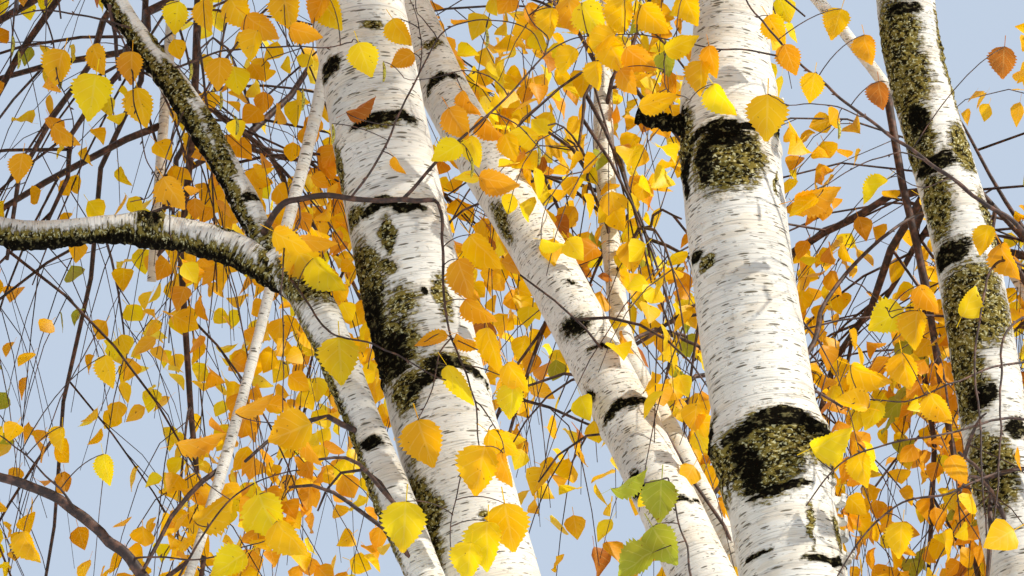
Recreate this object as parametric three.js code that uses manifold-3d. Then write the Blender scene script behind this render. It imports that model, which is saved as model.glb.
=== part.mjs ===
// A white birch in autumn: a clump of four stems rising from one root.
// The frame is in millimetres, +Z up. The origin is in the flat cut at ground level, under the middle of
// the foot. Seen along +Y, the stems lean to the left, as birches do that grow out of a crowded root.
// Every limb is a closed tube that tapers along a smooth curve, and every mass of leaves is one closed,
// uneven solid. Masses are cut round the stems that run up through them, and boughs end where they
// enter a mass.
import * as THREE from "three";
import { mergeVertices } from "three/addons/utils/BufferGeometryUtils.js";
import Module from "manifold-3d";

const wasm = await Module();
wasm.setup();

// Facets
const STEM_SIDES = 8;
const LONGEST_STEM_RING = 1250;
const BOUGH_SIDES = 5;
const BOUGH_RINGS = 4;
const LONGEST_LIMB_RING = 700;
const LARGE_MASS_DETAIL = 2;
const SMALL_MASS_DETAIL = 1;
const LARGE_MASS_HEIGHT = 1200;

// A width and a height beyond any of the tree's
const SLAB_WIDTH = 20000;

// Clearances between neighbours
const SEAT_GAP = 0.4;
const MASS_SEAT_GROWTH = 1.0005;
const MASS_GAP_GROWTH = 1.04;

// The foot, which all stems leave
const FOOT_TOP = 420;
const FOOT_SIDES = 9;
const FOOT_RINGS = 4;
const FOOT_FLARE = 0.85;
const FOOT_FLARE_HEIGHT = 130;
const FOOT_MOUND_RADIUS = 330;
const FOOT_MOUND_TOP_RADIUS = 120;
const FOOT_MOUND_HEIGHT = 260;
const FOOT_MOUND_CENTRE = [60, 80];
const BUTT_START = -300;
const BUTT_OVERRUN = 60;

// The stems: base radius, height of the tip, power of the taper, and the stations of the centre line.
// The collar is where a stem loses a big branch and goes on thinner.
const TIP_RADIUS = 6;
const COLLAR_BLEND = 60;
const STEMS = {
  left: {
    base_radius: 101,
    top: 12900,
    taper: 1.05,
    path: [
      [30, 140, 0],
      [-250, 95, 1600],
      [-933, 0, 4254],
      [-1017, 0, 4610],
      [-1100, 0, 5070],
      [-1550, 20, 8000],
      [-1780, 20, 10600],
      [-1830, 10, 12600],
    ],
  },
  middle: {
    base_radius: 98,
    top: 13300,
    taper: 1.0,
    collar: { height: 4930, keep: 0.82 },
    path: [
      [-130, -150, 0],
      [-285, -110, 1900],
      [-559, 0, 4254],
      [-608, 0, 4642],
      [-624, 0, 4907],
      [-600, 0, 5250],
      [-500, 10, 8300],
      [-330, 30, 10900],
      [-250, 0, 13000],
    ],
  },
  right: {
    base_radius: 68,
    top: 11300,
    taper: 0.94,
    path: [
      [270, -30, 0],
      [110, 10, 1600],
      [-279, 100, 4381],
      [-384, 100, 5130],
      [-400, -100, 6800],
      [-60, -420, 9000],
      [300, -640, 11000],
    ],
  },
  back: {
    base_radius: 75,
    top: 10700,
    taper: 0.93,
    path: [
      [150, 360, 0],
      [170, 480, 1800],
      [-170, 720, 3400],
      [-642, 900, 4712],
      [-824, 1000, 5181],
      [-1025, 1100, 5628],
      [-1750, 1550, 7900],
      [-2150, 1800, 10400],
    ],
  },
};

// Single limbs beside the stems: radius at the start and at the end, and stations.
const LIMBS = {
  fork_limb: {
    radii: [27, 22],
    path: [
      [-765, 20, 3600],
      [-890, -60, 3960],
      [-1005, -50, 4231],
      [-1096, -30, 4484],
      [-1152, -10, 4631],
      [-1200, 0, 4690],
    ],
  },
  level_bough: {
    radii: [21, 10],
    path: [
      [-1172, 0, 4655],
      [-1255, 0, 4707],
      [-1368, 0, 4734],
      [-1544, 0, 4730],
      [-2000, -60, 4860],
      [-2600, -100, 5250],
    ],
  },
  rising_bough: {
    radii: [19, 9],
    path: [
      [-1195, 0, 4680],
      [-1258, 0, 4815],
      [-1319, 0, 4924],
      [-1399, 0, 5046],
      [-1650, -60, 5500],
      [-2000, -300, 6150],
    ],
  },
  back_fork: {
    radii: [18, 11],
    path: [
      [-508, 860, 4350],
      [-535, 945, 4600],
      [-655, 1000, 4910],
      [-740, 1100, 5179],
      [-740, 1250, 5900],
      [-520, 1450, 6800],
    ],
  },
  hanging_bough: {
    radii: [13, 6],
    path: [
      [-1232, 5, 5850],
      [-1215, 560, 6080],
      [-1170, 940, 5640],
      [-1258, 1000, 5165],
      [-1344, 1000, 4779],
      [-1480, 980, 4300],
    ],
  },
  dead_snag: {
    radii: [9, 6],
    path: [
      [-655, -8, 4874],
      [-700, -10, 4882],
      [-742, -8, 4893],
    ],
  },
};
const LIMB_PARENTS = {
  fork_limb: "left",
  back_fork: "back",
  hanging_bough: "left",
  dead_snag: "middle",
};

// The crown: rings of hanging masses round one axis. The widest ring is the weeping skirt, and it hangs
// higher at the front, where the stems stand open below the crown. A ring names the turn of each of its
// masses as a share of the full circle, from the front and to the right.
const CROWN_AXIS = [-750, 300];
const FRONT = -Math.PI / 2;
const RINGS = {
  fringe: {
    turns: [0.3, 0.5, 0.71],
    radius: 1750,
    height: 4250,
    half: [640, 900],
    lift: 0,
    leaves: [3500, 4100],
  },
  skirt: {
    turns: [0.07, 0.33, 0.44, 0.56, 0.68, 0.81, 0.93],
    radius: 2300,
    height: 5500,
    half: [930, 1420],
    lift: 1300,
    leaves: [6100, 6900],
  },
  shoulder: {
    turns: [0.03, 0.2, 0.37, 0.52, 0.7, 0.86],
    radius: 1500,
    height: 8000,
    half: [900, 1250],
    lift: 750,
    leaves: [6600, 7700],
  },
  upper: {
    turns: [0.12, 0.4, 0.63, 0.88],
    radius: 930,
    height: 9800,
    half: [760, 1150],
    lift: 0,
    leaves: [8300, 9200],
  },
};
const RADIUS_SWAY = 0.09;
const HEIGHT_SWAY = 300;
const SIZE_SWAY = 0.13;
const TOP_HALF = [620, 1300];
const TOP_DROP = 950;

// A mass hangs: its lower part is longer than its dome, and it swings away from the crown's axis.
const DOME_SHARE = 0.82;
const HANG_SHARE = 1.18;
const HANG_SWING = 0.28;
const LUMPS = [
  { height: 0.1, across: [3.1, 2.3, 0], shift: 1.7 },
  { height: 0.08, across: [0, 4.3, -3.7], shift: 2.9 },
  { height: 0.06, across: [4.1, 0, 5.1], shift: 0.7 },
];

// Small masses low in the crown, on the limbs beside the stems.
const NEAR_MASSES = {
  leaves_on_rising_bough: { centre: [-1480, -40, 5120], half: [150, 120, 170] },
  leaves_before_left_stem: { centre: [-1075, -130, 4330], half: [170, 130, 150] },
  leaves_before_right_stem: { centre: [-330, -30, 4330], half: [180, 150, 190] },
  leaves_on_hanging_bough: { centre: [-1560, 960, 4330], half: [260, 220, 330] },
};

// Boughs of the rings: an arch from the stem to its mass
const BOUGH_RADII = { fringe: [15, 7], skirt: [17, 8], shoulder: [16, 8], upper: [13, 6] };
const BOUGH_REACH = 0.45;
const BOUGH_RISE = 0.3;
const BOUGH_ENTRY = 0.1;
const GOLDEN_SHARE = 0.382;
const SHORTEST_BOUGH_VOLUME = 100000;
const TOUCH = 1;
const SLIVER_SHARE = 0.1;

const BARK = new THREE.MeshStandardMaterial({ color: "#dcd8cf", roughness: 0.7, metalness: 0 });
const ROUGH_BARK = new THREE.MeshStandardMaterial({ color: "#6f665a", roughness: 0.9, metalness: 0 });
const DARK_BARK = new THREE.MeshStandardMaterial({ color: "#4a3a30", roughness: 0.8, metalness: 0 });
const GOLD_LEAVES = new THREE.MeshStandardMaterial({ color: "#e6a417", roughness: 0.6, metalness: 0 });

// A closed geometry as a manifold solid. Only positions count, so shared corners are merged first.
function solid(geometry) {
  const bare = geometry.index ? geometry.toNonIndexed() : geometry.clone();
  bare.deleteAttribute("normal");
  bare.deleteAttribute("uv");
  const merged = mergeVertices(bare, 1e-3);
  return new wasm.Manifold(
    new wasm.Mesh({
      numProp: 3,
      vertProperties: merged.attributes.position.array,
      triVerts: new Uint32Array(merged.index.array),
    }),
  );
}

// A manifold solid as a three.js geometry.
function geometryOf(body) {
  const mesh = body.getMesh();
  const places = new Float32Array(mesh.numVert * 3);
  for (let i = 0; i < mesh.numVert; i++) {
    places.set(mesh.vertProperties.subarray(i * mesh.numProp, i * mesh.numProp + 3), i * 3);
  }
  const geometry = new THREE.BufferGeometry();
  geometry.setAttribute("position", new THREE.BufferAttribute(places, 3));
  geometry.setIndex(new THREE.BufferAttribute(mesh.triVerts, 1));
  return geometry;
}

// The largest of the separate bodies that a cut leaves.
function largest(body) {
  return body.decompose().reduce((a, b) => (b.volume() > a.volume() ? b : a));
}

// Of the bodies that are more than slivers, the one whose bounding box lies nearest to a point.
function nearestPiece(body, point) {
  const pieces = body.decompose();
  const most = Math.max(...pieces.map((piece) => piece.volume()));
  const gap = (piece) => {
    const box = piece.boundingBox();
    const past = point.map((value, i) => Math.max(box.min[i] - value, 0, value - box.max[i]));
    return Math.hypot(...past);
  };
  const whole = pieces.filter((piece) => piece.volume() > SLIVER_SHARE * most);
  return whole.reduce((a, b) => (gap(b) < gap(a) ? b : a));
}

// A smooth curve through stations. Between two stations it is a cubic in the length of the chord, and its
// slope at a station is that of the line between the stations on either side.
class StationCurve extends THREE.Curve {
  constructor(stations) {
    super();
    this.stations = stations.map((station) => new THREE.Vector3(...station));
    this.knots = [0];
    for (let i = 1; i < stations.length; i++) {
      this.knots.push(this.knots[i - 1] + this.stations[i].distanceTo(this.stations[i - 1]));
    }
  }

  slope(i) {
    const before = Math.max(0, i - 1);
    const after = Math.min(this.stations.length - 1, i + 1);
    const rise = new THREE.Vector3().subVectors(this.stations[after], this.stations[before]);
    return rise.divideScalar(this.knots[after] - this.knots[before]);
  }

  // Shares of the length at which rings stand: at each station, and evenly between two that lie far apart.
  ringShares(longest) {
    const whole = this.knots.at(-1);
    const shares = [0];
    for (let i = 1; i < this.knots.length; i++) {
      const start = this.knots[i - 1];
      const span = this.knots[i] - start;
      const count = Math.ceil(span / longest);
      for (let k = 1; k <= count; k++) shares.push((start + (span * k) / count) / whole);
    }
    return shares;
  }

  getPoint(share) {
    const length = share * this.knots.at(-1);
    let i = 0;
    while (i < this.knots.length - 2 && this.knots[i + 1] < length) i += 1;
    const span = this.knots[i + 1] - this.knots[i];
    const t = (length - this.knots[i]) / span;
    return new THREE.Vector3()
      .addScaledVector(this.stations[i], 2 * t ** 3 - 3 * t ** 2 + 1)
      .addScaledVector(this.slope(i), (t ** 3 - 2 * t ** 2 + t) * span)
      .addScaledVector(this.stations[i + 1], 3 * t ** 2 - 2 * t ** 3)
      .addScaledVector(this.slope(i + 1), (t ** 3 - t ** 2) * span);
  }
}

// A cylinder bent along a curve: its rings stand square to the curve and take the radius asked for.
// Growth thickens it and lengthens both of its ends.
function tube(curve, radiusAt, sides, shares, growth = 0) {
  const rings = shares.length - 1;
  const geometry = new THREE.CylinderGeometry(1, 1, 1, sides, rings);
  const place = geometry.getAttribute("position");
  const across = new THREE.Vector3(1, 0, 0);
  for (let i = 0; i < place.count; i++) {
    const along = shares[Math.round((0.5 - place.getY(i)) * rings)];
    const point = curve.getPoint(along);
    const ahead = curve.getTangent(along);
    const side = new THREE.Vector3().crossVectors(ahead, across);
    if (side.length() < 0.3) side.crossVectors(ahead, new THREE.Vector3(0, 1, 0));
    side.normalize();
    const other = new THREE.Vector3().crossVectors(ahead, side);
    const radius = radiusAt(along, point) + growth;
    const past = along > 0.999 ? growth : along < 0.001 ? -growth : 0;
    point.addScaledVector(ahead, past);
    point.addScaledVector(side, place.getZ(i) * radius);
    point.addScaledVector(other, place.getX(i) * radius);
    place.setXYZ(i, point.x, point.y, point.z);
  }
  const body = solid(geometry);
  if (body.volume() > 0) return body;
  const index = geometry.getIndex();
  for (let i = 0; i < index.count; i += 3) {
    const kept = index.getX(i);
    index.setX(i, index.getX(i + 1));
    index.setX(i + 1, kept);
  }
  return solid(geometry);
}

function evenShares(rings) {
  return Array.from({ length: rings + 1 }, (_, k) => k / rings);
}

function smoothStep(value) {
  const t = Math.min(1, Math.max(0, value));
  return t * t * (3 - 2 * t);
}

function stemRadius(stem, height) {
  const share = Math.max(0, 1 - height / stem.top);
  const plain = stem.base_radius * share ** stem.taper;
  const collar = stem.collar;
  const kept = collar ? 1 - (1 - collar.keep) * smoothStep((height - collar.height) / COLLAR_BLEND) : 1;
  return Math.max(TIP_RADIUS, plain * kept);
}

function stemTube(stem, growth = 0) {
  const radius = (_, point) => stemRadius(stem, point.z);
  const curve = new StationCurve(stem.path);
  return tube(curve, radius, STEM_SIDES, curve.ringShares(LONGEST_STEM_RING), growth);
}

function limbTube(limb, growth = 0) {
  const [first, last] = limb.radii;
  const radius = (along) => first + (last - first) * along;
  const curve = new StationCurve(limb.path);
  return tube(curve, radius, BOUGH_SIDES, curve.ringShares(LONGEST_LIMB_RING), growth);
}

// A stem's centre at a height, found by halving, because the curve rises all the way.
function stemPointAt(stem, height) {
  const curve = new StationCurve(stem.path);
  let low = 0;
  let high = 1;
  for (let i = 0; i < 40; i++) {
    const middle = (low + high) / 2;
    if (curve.getPoint(middle).z < height) low = middle;
    else high = middle;
  }
  return curve.getPoint(low);
}

// A box between two heights, wide enough to hold the whole tree.
function slab(low, high) {
  const geometry = new THREE.BoxGeometry(SLAB_WIDTH, SLAB_WIDTH, high - low);
  geometry.translate(0, 0, (low + high) / 2);
  return solid(geometry);
}

// The foot is the flared butts of all stems and a low mound, joined and cut flat at the ground.
function footSolid() {
  const mound = new THREE.CylinderGeometry(
    FOOT_MOUND_TOP_RADIUS,
    FOOT_MOUND_RADIUS,
    FOOT_MOUND_HEIGHT,
    FOOT_SIDES,
  );
  mound.rotateX(Math.PI / 2);
  mound.translate(...FOOT_MOUND_CENTRE, FOOT_MOUND_HEIGHT / 2);
  let joined = solid(mound);
  for (const stem of Object.values(STEMS)) {
    const start = stemPointAt(stem, 0);
    const end = stemPointAt(stem, FOOT_TOP + BUTT_OVERRUN);
    const slope = new THREE.Vector3().subVectors(end, start).divideScalar(FOOT_TOP + BUTT_OVERRUN);
    const foot = start.clone().addScaledVector(slope, BUTT_START);
    const flared = (_, point) => {
      const height = Math.max(0, point.z);
      return stemRadius(stem, height) * (1 + FOOT_FLARE * Math.exp(-height / FOOT_FLARE_HEIGHT));
    };
    const straight = new THREE.LineCurve3(foot, end);
    joined = joined.add(tube(straight, flared, FOOT_SIDES, evenShares(FOOT_RINGS)));
  }
  return largest(joined.intersect(slab(0, FOOT_TOP)));
}

// How far a mass reaches in a direction: waves across it, each shifted by the mass's own number.
function uneven(direction, number) {
  return LUMPS.reduce((reach, { height, across, shift }) => {
    const phase = across[0] * direction.x + across[1] * direction.y + across[2] * direction.z;
    return reach + height * Math.sin(phase + shift * number);
  }, 1);
}

function massSolid(mass, growth = 1) {
  const detail = mass.half[2] > LARGE_MASS_HEIGHT ? LARGE_MASS_DETAIL : SMALL_MASS_DETAIL;
  const geometry = new THREE.IcosahedronGeometry(1, detail);
  const place = geometry.getAttribute("position");
  const [cx, cy, cz] = mass.centre;
  const [hx, hy, hz] = mass.half;
  for (let i = 0; i < place.count; i++) {
    const direction = new THREE.Vector3().fromBufferAttribute(place, i).normalize();
    const reach = uneven(direction, mass.number) * growth;
    const swing = HANG_SWING * Math.max(0, -direction.z) * reach;
    const rise = direction.z > 0 ? DOME_SHARE : HANG_SHARE;
    place.setXYZ(
      i,
      cx + (direction.x * reach + mass.outward[0] * swing) * hx,
      cy + (direction.y * reach + mass.outward[1] * swing) * hy,
      cz + direction.z * reach * rise * hz,
    );
  }
  return solid(geometry);
}

// The masses of one ring. Each sways a little in place and size, so that no two stand alike.
function ringMasses(name, ring, firstNumber) {
  return ring.turns.map((turn, k) => {
    const angle = FRONT + turn * Math.PI * 2;
    const outward = [Math.cos(angle), Math.sin(angle)];
    const number = firstNumber + k;
    const radius = ring.radius * (1 + RADIUS_SWAY * Math.sin(2.4 * number));
    const front = Math.max(0, Math.cos(turn * Math.PI * 2));
    const size = 1 + SIZE_SWAY * Math.sin(1.7 * number + 0.8);
    const [across, up] = ring.half;
    return {
      name: `foliage_${name}_${k + 1}`,
      ring: name,
      number,
      outward,
      centre: [
        CROWN_AXIS[0] + radius * outward[0],
        CROWN_AXIS[1] + radius * outward[1],
        ring.height + ring.lift * front + HEIGHT_SWAY * Math.cos(1.9 * number),
      ],
      half: [across * size, across * size, up * size],
    };
  });
}

function crownMasses() {
  const masses = [];
  for (const [name, ring] of Object.entries(RINGS)) {
    masses.push(...ringMasses(name, ring, masses.length + 1));
  }
  for (const [name, stem] of Object.entries(STEMS)) {
    const [x, y, z] = stem.path.at(-1);
    const [across, up] = TOP_HALF;
    masses.push({ name: `foliage_top_${name}`, centre: [x, y, z - TOP_DROP], half: [across, across, up] });
  }
  for (const [name, mass] of Object.entries(NEAR_MASSES)) {
    masses.push({ name: `foliage_${name}`, ...mass });
  }
  return masses.map((mass, i) => ({ outward: [0, 0], number: i + 1, ...mass }));
}

// The stem that is nearest to a mass at the height where the mass's bough leaves.
function nearestStem(mass, height) {
  const gap = (stem) => {
    const point = stemPointAt(stem, height);
    return Math.hypot(point.x - mass.centre[0], point.y - mass.centre[1]);
  };
  return Object.values(STEMS).reduce((a, b) => (gap(b) < gap(a) ? b : a));
}

// A bough leaves its stem steeply, arches over and comes down into its mass.
function boughTube(mass, growth = 0) {
  const [low, high] = RINGS[mass.ring].leaves;
  const leaves = low + (high - low) * ((mass.number * GOLDEN_SHARE) % 1);
  const start = stemPointAt(nearestStem(mass, leaves), leaves);
  const goal = new THREE.Vector3(...mass.centre);
  goal.z += BOUGH_ENTRY * mass.half[2];
  const flat = new THREE.Vector3(goal.x - start.x, goal.y - start.y, 0);
  const crest = start.clone().addScaledVector(flat, BOUGH_REACH);
  crest.z = Math.max(start.z + BOUGH_RISE * flat.length(), goal.z);
  const [first, last] = BOUGH_RADII[mass.ring];
  const radius = (along) => first + (last - first) * along;
  const arch = new THREE.QuadraticBezierCurve3(start, crest, goal);
  return tube(arch, radius, BOUGH_SIDES, evenShares(BOUGH_RINGS), growth);
}

const tree = new THREE.Group();

function addNode(name, body, material) {
  const mesh = new THREE.Mesh(geometryOf(body), material);
  mesh.name = name;
  tree.add(mesh);
}

// Stems and foot. A stem starts a hair above the foot's flat top.
const aboveFoot = slab(FOOT_TOP + SEAT_GAP, SLAB_WIDTH);
const stemSolids = {};
const grownStems = {};
addNode("foot", footSolid(), ROUGH_BARK);
for (const [name, stem] of Object.entries(STEMS)) {
  stemSolids[name] = stemTube(stem).intersect(aboveFoot);
  grownStems[name] = stemTube(stem, SEAT_GAP);
  addNode(`stem_${name}`, stemSolids[name], BARK);
}
const grownFork = limbTube(LIMBS.fork_limb, SEAT_GAP);
const allStems = Object.values(grownStems).reduce((a, b) => a.add(b)).add(grownFork);

// The single limbs. The two boughs of the fork start on the fork limb.
const limbSolids = {};
for (const [name, limb] of Object.entries(LIMBS)) {
  let body = limbTube(limb);
  const parent = LIMB_PARENTS[name];
  if (parent) body = body.subtract(grownStems[parent]);
  limbSolids[name] = body;
}
const grownLevel = limbTube(LIMBS.level_bough, SEAT_GAP);
limbSolids.level_bough = limbSolids.level_bough.subtract(grownFork);
limbSolids.rising_bough = limbSolids.rising_bough.subtract(grownFork.add(grownLevel));

// Masses: each is cut round the stems, round the fork limb and by the masses before it, and its bough
// ends at it.
const made = [];
let earlier = null;
for (const mass of crownMasses()) {
  let body = massSolid(mass).subtract(allStems);
  if (earlier) body = body.subtract(earlier);
  body = largest(body);
  made.push({ mass, body });
  const grown = massSolid(mass, MASS_GAP_GROWTH);
  earlier = earlier ? earlier.add(grown) : grown;
}

// A mass grown a hair about its own centre, so that a limb cut by it meets it with a small gap.
function seatOf({ mass, body }) {
  const [x, y, z] = mass.centre;
  return body.translate([-x, -y, -z]).scale(MASS_SEAT_GROWTH).translate([x, y, z]);
}
const allMasses = made.map(seatOf).reduce((a, b) => a.add(b));

for (const [name, body] of Object.entries(limbSolids)) {
  const ended = name === "fork_limb" ? body : body.subtract(allMasses);
  const kept = nearestPiece(ended, LIMBS[name].path[0]);
  addNode(name, kept, name === "dead_snag" ? DARK_BARK : BARK);
}
let allLimbs = Object.values(LIMBS).map((limb) => limbTube(limb, SEAT_GAP)).reduce((a, b) => a.add(b));
for (const { mass, body } of made) {
  addNode(mass.name, body, GOLD_LEAVES);
  if (!mass.ring) continue;
  const bough = boughTube(mass).subtract(allStems).subtract(allMasses).subtract(allLimbs);
  if (bough.isEmpty()) continue;
  const kept = largest(bough);
  if (kept.volume() < SHORTEST_BOUGH_VOLUME && body.minGap(allStems, TOUCH) < TOUCH) continue;
  addNode(`bough_${mass.ring}_${mass.number}`, kept, BARK);
  allLimbs = allLimbs.add(boughTube(mass, SEAT_GAP));
}

export default tree;
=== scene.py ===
"""A white birch in autumn: a clump of four stems from one foot, with boughs, twigs and golden leaves.

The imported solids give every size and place. Stems, limbs and foot are replaced by surfaces with the
relief of birch bark, and each mass of foliage by branches, twigs and leaves that a seeded rule grows on
from the limbs. Everything is in metres, +Z up, with the origin in the flat cut at ground level.
"""

import logging
from dataclasses import dataclass, field
from enum import Enum
from itertools import product
from typing import Iterable, Optional, Sequence

import bpy
import numpy as np
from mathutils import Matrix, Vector


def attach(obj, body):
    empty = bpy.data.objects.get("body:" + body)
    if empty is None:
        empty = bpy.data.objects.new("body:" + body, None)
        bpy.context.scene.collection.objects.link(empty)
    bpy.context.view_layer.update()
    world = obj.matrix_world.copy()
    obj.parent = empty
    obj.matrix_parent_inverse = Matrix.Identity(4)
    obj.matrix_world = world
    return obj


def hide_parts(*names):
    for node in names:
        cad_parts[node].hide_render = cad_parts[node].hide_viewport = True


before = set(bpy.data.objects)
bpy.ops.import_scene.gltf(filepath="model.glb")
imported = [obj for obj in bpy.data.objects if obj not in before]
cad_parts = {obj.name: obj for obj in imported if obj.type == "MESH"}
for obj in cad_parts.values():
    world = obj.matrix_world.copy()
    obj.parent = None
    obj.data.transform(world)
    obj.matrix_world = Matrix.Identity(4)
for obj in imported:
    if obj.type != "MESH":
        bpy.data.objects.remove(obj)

log = logging.getLogger("birch")
Array = np.ndarray
Pair = tuple[float, float]
Point = tuple[float, float, float]
Draw = np.random.Generator
Material = bpy.types.Material
NodeTree = bpy.types.NodeTree
Socket = bpy.types.NodeSocket

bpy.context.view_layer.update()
UP = np.array([0.0, 0.0, 1.0])
DOWN = -UP
CAMERA_SIDE = -90.0


class Tint(Enum):
    """The autumn colours that sprays of leaves take, with the share of sprays that take each."""

    GOLD = ("#FFC400", 0.42)
    LEMON = ("#FFDB0C", 0.26)
    AMBER = ("#F0A60C", 0.20)
    RUST = ("#BC6E1C", 0.05)
    LIME = ("#AFAF28", 0.07)

    @property
    def colour(self) -> str:
        """The tint's sRGB hex value."""
        return self.value[0]

    @property
    def share(self) -> float:
        """The share of sprays with this tint."""
        return self.value[1]


class MarkKind(Enum):
    """The kinds of mark on birch bark."""

    CHEVRON = "chevron"
    PATCH = "patch"
    MOSS = "moss"
    SWELL = "swell"


CHEVRON, PATCH, MOSS, SWELL = MarkKind


class LeafForm(Enum):
    """How finely a leaf is made: by a few faces far off, and with teeth and folds beside the stems."""

    PLAIN = 0
    MIDDLE = 1
    FINE = 2


def linear(hex_value: str) -> tuple[float, float, float, float]:
    """Turn an sRGB hex value, #RRGGBB, to linear red, green and blue, with an alpha of 1."""
    parts = np.array([int(hex_value[i : i + 2], 16) for i in (1, 3, 5)]) / 255.0
    channels = np.where(parts <= 0.04045, parts / 12.92, ((parts + 0.055) / 1.055) ** 2.4)
    return (*(float(v) for v in channels), 1.0)


def smooth_step(values: Array, low: float, high: float) -> Array:
    """Rise from 0 at low to 1 at high along 3t^2 - 2t^3."""
    t = np.clip((values - low) / (high - low), 0.0, 1.0)
    return t * t * (3.0 - 2.0 * t)


def unit(vectors: Array) -> Array:
    """Scale vectors to a length of 1."""
    return vectors / np.maximum(np.linalg.norm(vectors, axis=-1, keepdims=True), 1e-9)


def lattice_noise(points: Array, seed: int) -> Array:
    """Smooth noise from -1 to 1: random values at whole-number points, blended between them.

    Args:
        points: places, with three values on the last axis.
        seed: the number that picks the random values.

    Returns:
        One value for each place.
    """
    cell = np.floor(points).astype(np.int64)
    part = points - cell
    part = part * part * (3.0 - 2.0 * part)
    total = np.zeros(points.shape[:-1])
    for corner in product((0, 1), repeat=3):
        at = cell + np.array(corner)
        mixed = (at[..., 0] * 73856093) ^ (at[..., 1] * 19349663) ^ (at[..., 2] * 83492791) ^ (seed * 2654435)
        mixed = (mixed ^ (mixed >> 13)) * 1274126177
        mixed = mixed ^ (mixed >> 16)
        total += ((mixed & 0xFFFF) / 32767.5 - 1.0) * np.prod(np.where(corner, part, 1.0 - part), axis=-1)
    return total


def layered_noise(points: Array, seed: int, layers: int = 4) -> Array:
    """Noise with layers of half the size and half the height on each other."""
    return sum(lattice_noise(points * 2.0**k, seed + 17 * k) * 0.5**k for k in range(layers))


@dataclass
class StationCurve:
    """A smooth curve through stations, as the solids have it.

    Between two stations it is a cubic in the length of the chord, and its slope at a station is that of
    the line between the stations on either side.
    """

    stations: Sequence[Point]

    def __post_init__(self) -> None:
        """Work out the chord lengths and the slopes."""
        self.points = np.array(self.stations, dtype=float)
        steps = np.linalg.norm(np.diff(self.points, axis=0), axis=1)
        self.knots = np.concatenate([[0.0], np.cumsum(steps)])
        before = np.maximum(np.arange(len(self.points)) - 1, 0)
        after = np.minimum(np.arange(len(self.points)) + 1, len(self.points) - 1)
        rise = self.points[after] - self.points[before]
        self.slopes = rise / (self.knots[after] - self.knots[before])[:, None]

    @property
    def length(self) -> float:
        """The sum of the chords."""
        return float(self.knots[-1])

    def at(self, lengths: Array) -> Array:
        """Points of the curve at chord lengths from its start."""
        lengths = np.asarray(lengths, dtype=float)
        i = np.clip(np.searchsorted(self.knots, lengths, side="right") - 1, 0, len(self.knots) - 2)
        span = self.knots[i + 1] - self.knots[i]
        t = ((lengths - self.knots[i]) / span)[..., None]
        span = span[..., None]
        return (
            (2 * t**3 - 3 * t**2 + 1) * self.points[i]
            + (t**3 - 2 * t**2 + t) * span * self.slopes[i]
            + (3 * t**2 - 2 * t**3) * self.points[i + 1]
            + (t**3 - t**2) * span * self.slopes[i + 1]
        )

    def at_height(self, heights: Array) -> Array:
        """Points of a curve that rises all the way, at the heights asked for."""
        lengths = np.linspace(0.0, self.length, 600)
        return self.at(np.interp(heights, self.at(lengths)[:, 2], lengths))


@dataclass
class MeshDraft:
    """Arrays that become one mesh: corners, faces of any number of corners, finishes and values."""

    corners: list[Array] = field(default_factory=list)
    faces: list[tuple[Array, Array]] = field(default_factory=list)
    values: dict[str, list[Array]] = field(default_factory=dict)
    count: int = 0

    def add(self, corners: Array, faces: Iterable[Array], finish: int | Array = 0, **values: Array) -> None:
        """Add a surface.

        Args:
            corners: its corners, (n, 3).
            faces: arrays of corner numbers, one row for each face.
            finish: the number of its finish, or one number for each face of a single face array.
            values: named values, one for each corner.
        """
        corners = corners.reshape(-1, 3)
        for rows in faces:
            rows = np.asarray(rows)
            self.faces.append((rows + self.count, np.broadcast_to(np.asarray(finish), (len(rows),))))
        for name, value in values.items():
            self.values.setdefault(name, []).append(np.asarray(value).reshape(len(corners), -1))
        self.corners.append(corners)
        self.count += len(corners)

    def build(
        self, name: str, finishes: Sequence[Material], slot: str, nodes: Iterable[str] = ()
    ) -> bpy.types.Object:
        """Make the Blender object, which rides on the root body.

        Args:
            name: the piece's name.
            finishes: its materials, in the order of the finish numbers.
            slot: not used.
            nodes: the solids that the piece stands for.

        Returns:
            The object.
        """
        mesh = bpy.data.meshes.new(name)
        corners = np.concatenate(self.corners)
        mesh.vertices.add(len(corners))
        mesh.vertices.foreach_set("co", corners.astype(np.float32).ravel())
        loops = np.concatenate([rows.ravel() for rows, _ in self.faces])
        sizes = np.concatenate([np.full(len(rows), rows.shape[1]) for rows, _ in self.faces])
        mesh.loops.add(len(loops))
        mesh.loops.foreach_set("vertex_index", loops.astype(np.int32))
        mesh.polygons.add(len(sizes))
        mesh.polygons.foreach_set("loop_start", np.concatenate([[0], np.cumsum(sizes)[:-1]]).astype(np.int32))
        chosen = np.concatenate([finish for _, finish in self.faces])
        mesh.polygons.foreach_set("material_index", chosen.astype(np.int32))
        mesh.polygons.foreach_set("use_smooth", np.ones(len(sizes), dtype=bool))
        for key, blocks in self.values.items():
            block = np.concatenate(blocks).astype(np.float32)
            if block.shape[1] == 2:
                mesh.uv_layers.new(name=key).uv.foreach_set("vector", block[loops].ravel())
            elif block.shape[1] == 3:
                mesh.attributes.new(key, "FLOAT_VECTOR", "POINT").data.foreach_set("vector", block.ravel())
            else:
                mesh.attributes.new(key, "FLOAT", "POINT").data.foreach_set("value", block.ravel())
        for finish in finishes:
            mesh.materials.append(finish)
        mesh.update(calc_edges=True)
        mesh.validate()
        piece = bpy.data.objects.new(name, mesh)
        bpy.context.scene.collection.objects.link(piece)
        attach(piece, "root")
        if nodes:
            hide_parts(*nodes)
        log.info("%s: %d triangles", name, int(np.sum(sizes - 2)))
        return piece


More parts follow.
